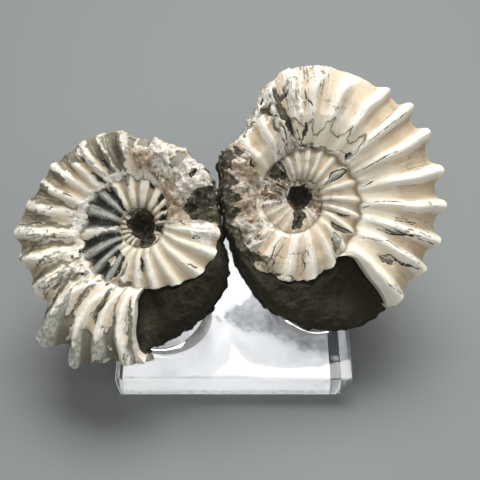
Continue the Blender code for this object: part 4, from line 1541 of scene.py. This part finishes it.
def film_material(name, white):
    """White film with a painted shadow toward the back, grey blotches strongest in it, and a
    darker mottled strip along the front painted for the film's look through the block's front
    face. It glows with its own colour as painted light.
    """
    sheet = Sheet(name)
    place = sheet.place()
    cloud = sheet.grain(place, 90.0, 4.0, 0.6)
    mottle = sheet.grain(place, 700.0, 3.0)
    slanting = sheet.along(place, SHADOW_DIRECTION)
    # Painted shadow toward the back, its edge slanting across.
    shadow = (slanting + (cloud - 0.5) * 7.0).step(-7.5, -2.5)
    # Grey cloudy blotches, strongest in the painted shadow.
    blotches = (cloud + mottle * 0.3).step(0.60, 0.85) * (0.3 + shadow * 0.7)
    backward = sheet.along(place, STRIP_DIRECTION)
    # A darker mottled strip along the front, painted for the film's look through the front face.
    strip = 1 - (backward + (mottle - 0.5) * 1.5).step(-19.2, -18.6)
    colour = sheet.mix(shadow, white, FILM_SHADOW)
    colour = sheet.mix(blotches, colour, FILM_BLOTCH)
    strip_colour = sheet.mix((mottle * 0.7 + cloud * 0.3).step(0.30, 0.70), STRIP_DARK,
                             STRIP_PALE)
    colour = sheet.mix(strip * 0.5, colour, strip_colour)
    # The film gives out its own colour as light: a painted glow, weaker in the painted shadow.
    return sheet.finish(Base_Color=colour, Roughness=0.25, Emission_Color=colour,
                        Emission_Strength=0.50)


def floor_material(name, colour):
    """Matt card with a fine tooth."""
    sheet = Sheet(name)
    tooth = sheet.grain(sheet.place(), 2500.0, 2.0)
    return sheet.finish(Base_Color=colour, Roughness=0.6, Normal=sheet.bump(tooth, 0.00002))


def block_mesh(edge):
    """The block, drawn in toward its underside, with bevelled edges."""
    low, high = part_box("stand_base")
    left, right, near = (value * MM for value in BLOCK_BOTTOM)
    deselect_all()
    bpy.ops.mesh.primitive_cube_add(size=1.0)
    piece = bpy.context.object
    for vert in piece.data.vertices:
        x, y, z = vert.co
        if z > 0:
            vert.co = (high.x if x > 0 else low.x, high.y if y > 0 else low.y, high.z)
        else:
            vert.co = (right if x > 0 else left, -near if y > 0 else near, low.z)
    bpy.ops.object.mode_set(mode="EDIT")
    bpy.ops.mesh.select_all(action="SELECT")
    bpy.ops.mesh.bevel(offset=edge, segments=EDGE_SEGMENTS, affect="EDGES")
    bpy.ops.mesh.select_all(action="DESELECT")
    bpy.ops.object.mode_set(mode="OBJECT")
    return piece


def film_face(piece):
    """Cuts the film's outline into the block's underside, and gives that face's number."""
    for face in piece.data.polygons:
        face.select = face.normal.z < -0.99 and face.area > WIDE_FACE
    bpy.ops.object.mode_set(mode="EDIT")
    bpy.ops.mesh.inset(thickness=MM)
    bpy.ops.object.mode_set(mode="OBJECT")
    film = next(face for face in piece.data.polygons if face.select)
    left, right, near, far = (value * MM for value in FILM)
    for number in film.vertices:
        place = piece.data.vertices[number].co
        place.x = right if place.x > 0 else left
        place.y = far if place.y > 0 else near
    return film.index


def riser_mesh(name, fossil, edge):
    """An upright cylinder, cut off along the back of its fossil, with bevelled edges."""
    low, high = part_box(name)
    normal = stance(fossil) @ Vector((0, 0, 1))
    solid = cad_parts[name].data
    seat = max((vert.co for vert in solid.vertices), key=lambda place: place @ normal)
    centre = (low + high) / 2
    height = high.z - low.z
    deselect_all()
    bpy.ops.mesh.primitive_cylinder_add(
        vertices=RISER_SIDES, radius=(high.x - low.x) / 2, depth=height * 2,
        location=(centre.x, centre.y, low.z + height))
    piece = bpy.context.object
    apply_place(piece)
    bpy.ops.object.mode_set(mode="EDIT")
    bpy.ops.mesh.select_all(action="SELECT")
    bpy.ops.mesh.bisect(plane_co=seat, plane_no=normal, use_fill=True, clear_outer=True)
    bpy.ops.object.mode_set(mode="OBJECT")
    bevel = piece.modifiers.new("polished edges", "BEVEL")
    bevel.width = edge
    bevel.segments = EDGE_SEGMENTS
    bevel.limit_method = "ANGLE"
    bevel.angle_limit = math.radians(30)
    bpy.ops.object.modifier_apply(modifier=bevel.name)
    bpy.ops.object.shade_smooth_by_angle(angle=math.radians(30))
    return piece


def add_light(name, size, power, place):
    """A soft rectangular light that faces the display."""
    bpy.ops.object.light_add(type="AREA", location=place)
    lamp = bpy.context.object
    lamp.name = name
    lamp.data.shape = "RECTANGLE"
    lamp.data.size, lamp.data.size_y = size
    lamp.data.energy = power
    away = Vector(place) - Vector(LIGHT_TARGET)
    lamp.rotation_euler = away.to_track_quat("Z", "Y").to_euler()


def add_world(scene, strength):
    """An even white light from all round."""
    world = bpy.data.worlds.new("studio")
    scene.world = world
    world.use_nodes = True
    background = world.node_tree.nodes["Background"]
    background.inputs["Color"].default_value = (1.0, 1.0, 1.0, 1.0)
    background.inputs["Strength"].default_value = strength


def add_camera(scene):
    lens = bpy.data.cameras.new("camera")
    lens.lens = CAMERA_LENS
    lens.sensor_width = 36.0
    lens.clip_start = 0.01
    camera = bpy.data.objects.new("camera", lens)
    scene.collection.objects.link(camera)
    camera.location = CAMERA_PLACE
    camera.rotation_euler = (math.radians(CAMERA_TILT), 0, 0)
    scene.camera = camera
    scene.view_settings.view_transform = "Standard"


class AMMONITES_OT_fossil(bpy.types.Operator):
    """Add one ammonite, in place of its plain solid"""

    bl_idname = "ammonites.fossil"
    bl_label = "Ammonite"

    which: EnumProperty(
        name="Which", description="Which of the two ammonites",
        items=[("LEFT", "Left", "The left ammonite"), ("RIGHT", "Right", "The right ammonite")])

    def execute(self, context):
        fossil = LEFT if self.which == "LEFT" else RIGHT
        settings = context.scene.ammonite_fossils
        material = shell_material(fossil["name"] + "_shell", settings)
        for back in (False, True):
            piece = fossil_mesh(fossil, settings, back)
            piece.data.materials.append(material)
            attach(piece, "root")
            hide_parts(fossil["name"])
        return {"FINISHED"}


class AMMONITES_OT_block(bpy.types.Operator):
    """Add the clear block with its polished edges, and the film under it"""

    bl_idname = "ammonites.block"
    bl_label = "Clear block"

    def execute(self, context):
        settings = context.scene.ammonite_stand
        piece = block_mesh(settings.block_edge)
        piece.name = "clear_block"
        film_number = film_face(piece)
        bpy.ops.object.shade_smooth_by_angle(angle=math.radians(40))
        piece.data.materials.append(
            acrylic_material("clear_acrylic", settings.tint, BLOCK_FROSTING))
        piece.data.materials.append(film_material("white_film", settings.film))
        piece.data.polygons[film_number].material_index = 1
        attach(piece, "root")
        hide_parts("stand_base")
        return {"FINISHED"}


class AMMONITES_OT_risers(bpy.types.Operator):
    """Add the two clear risers, each cut off along its ammonite's back"""

    bl_idname = "ammonites.risers"
    bl_label = "Clear risers"

    def execute(self, context):
        settings = context.scene.ammonite_stand
        material = acrylic_material("clear_riser", settings.tint, RISER_FROSTING)
        for name, fossil in (("left_riser", LEFT), ("right_riser", RIGHT)):
            piece = riser_mesh(name, fossil, settings.block_edge / 2)
            piece.name = name + "_clear"
            piece.data.materials.append(material)
            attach(piece, "root")
            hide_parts(name)
        return {"FINISHED"}


class AMMONITES_OT_stage(bpy.types.Operator):
    """Add the floor, the soft lights and the camera"""

    bl_idname = "ammonites.stage"
    bl_label = "Stage"

    def execute(self, context):
        settings = context.scene.ammonite_stage
        deselect_all()
        bpy.ops.mesh.primitive_circle_add(vertices=96, radius=FLOOR_RADIUS, fill_type="NGON",
                                          location=(0, 0, -FLOOR_GAP))
        floor = context.object
        floor.name = "floor"
        floor.data.materials.append(floor_material("floor_card", settings.floor))
        add_light("key_softbox", KEY_SIZE, settings.key_power, KEY_PLACE)
        add_light("front_fill", FRONT_SIZE, settings.key_power * FRONT_SHARE, FRONT_PLACE)
        add_world(context.scene, settings.fill_strength)
        add_camera(context.scene)
        return {"FINISHED"}


class AMMONITES_PT_panel(bpy.types.Panel):
    bl_label = "Ammonites"
    bl_space_type = "VIEW_3D"
    bl_region_type = "UI"
    bl_category = "Ammonites"

    def draw(self, context):
        for owner in ("ammonite_fossils", "ammonite_stand", "ammonite_stage"):
            settings = getattr(context.scene, owner)
            column = self.layout.column()
            for name in settings.__annotations__:
                column.prop(settings, name)
        row = self.layout.column()
        row.operator("ammonites.fossil", text="Left ammonite").which = "LEFT"
        row.operator("ammonites.fossil", text="Right ammonite").which = "RIGHT"
        row.operator("ammonites.block")
        row.operator("ammonites.risers")
        row.operator("ammonites.stage")


CLASSES = (
    FossilSettings, StandSettings, StageSettings, AMMONITES_OT_fossil, AMMONITES_OT_block,
    AMMONITES_OT_risers, AMMONITES_OT_stage, AMMONITES_PT_panel,
)


def register():
    for item in CLASSES:
        bpy.utils.register_class(item)
    bpy.types.Scene.ammonite_fossils = PointerProperty(type=FossilSettings)
    bpy.types.Scene.ammonite_stand = PointerProperty(type=StandSettings)
    bpy.types.Scene.ammonite_stage = PointerProperty(type=StageSettings)


def unregister():
    del bpy.types.Scene.ammonite_stage
    del bpy.types.Scene.ammonite_stand
    del bpy.types.Scene.ammonite_fossils
    for item in reversed(CLASSES):
        bpy.utils.unregister_class(item)


def main():
    register()
    bpy.ops.ammonites.stage()
    bpy.ops.ammonites.block()
    bpy.ops.ammonites.risers()
    bpy.ops.ammonites.fossil(which="LEFT")
    bpy.ops.ammonites.fossil(which="RIGHT")


if __name__ == "__main__":
    main()
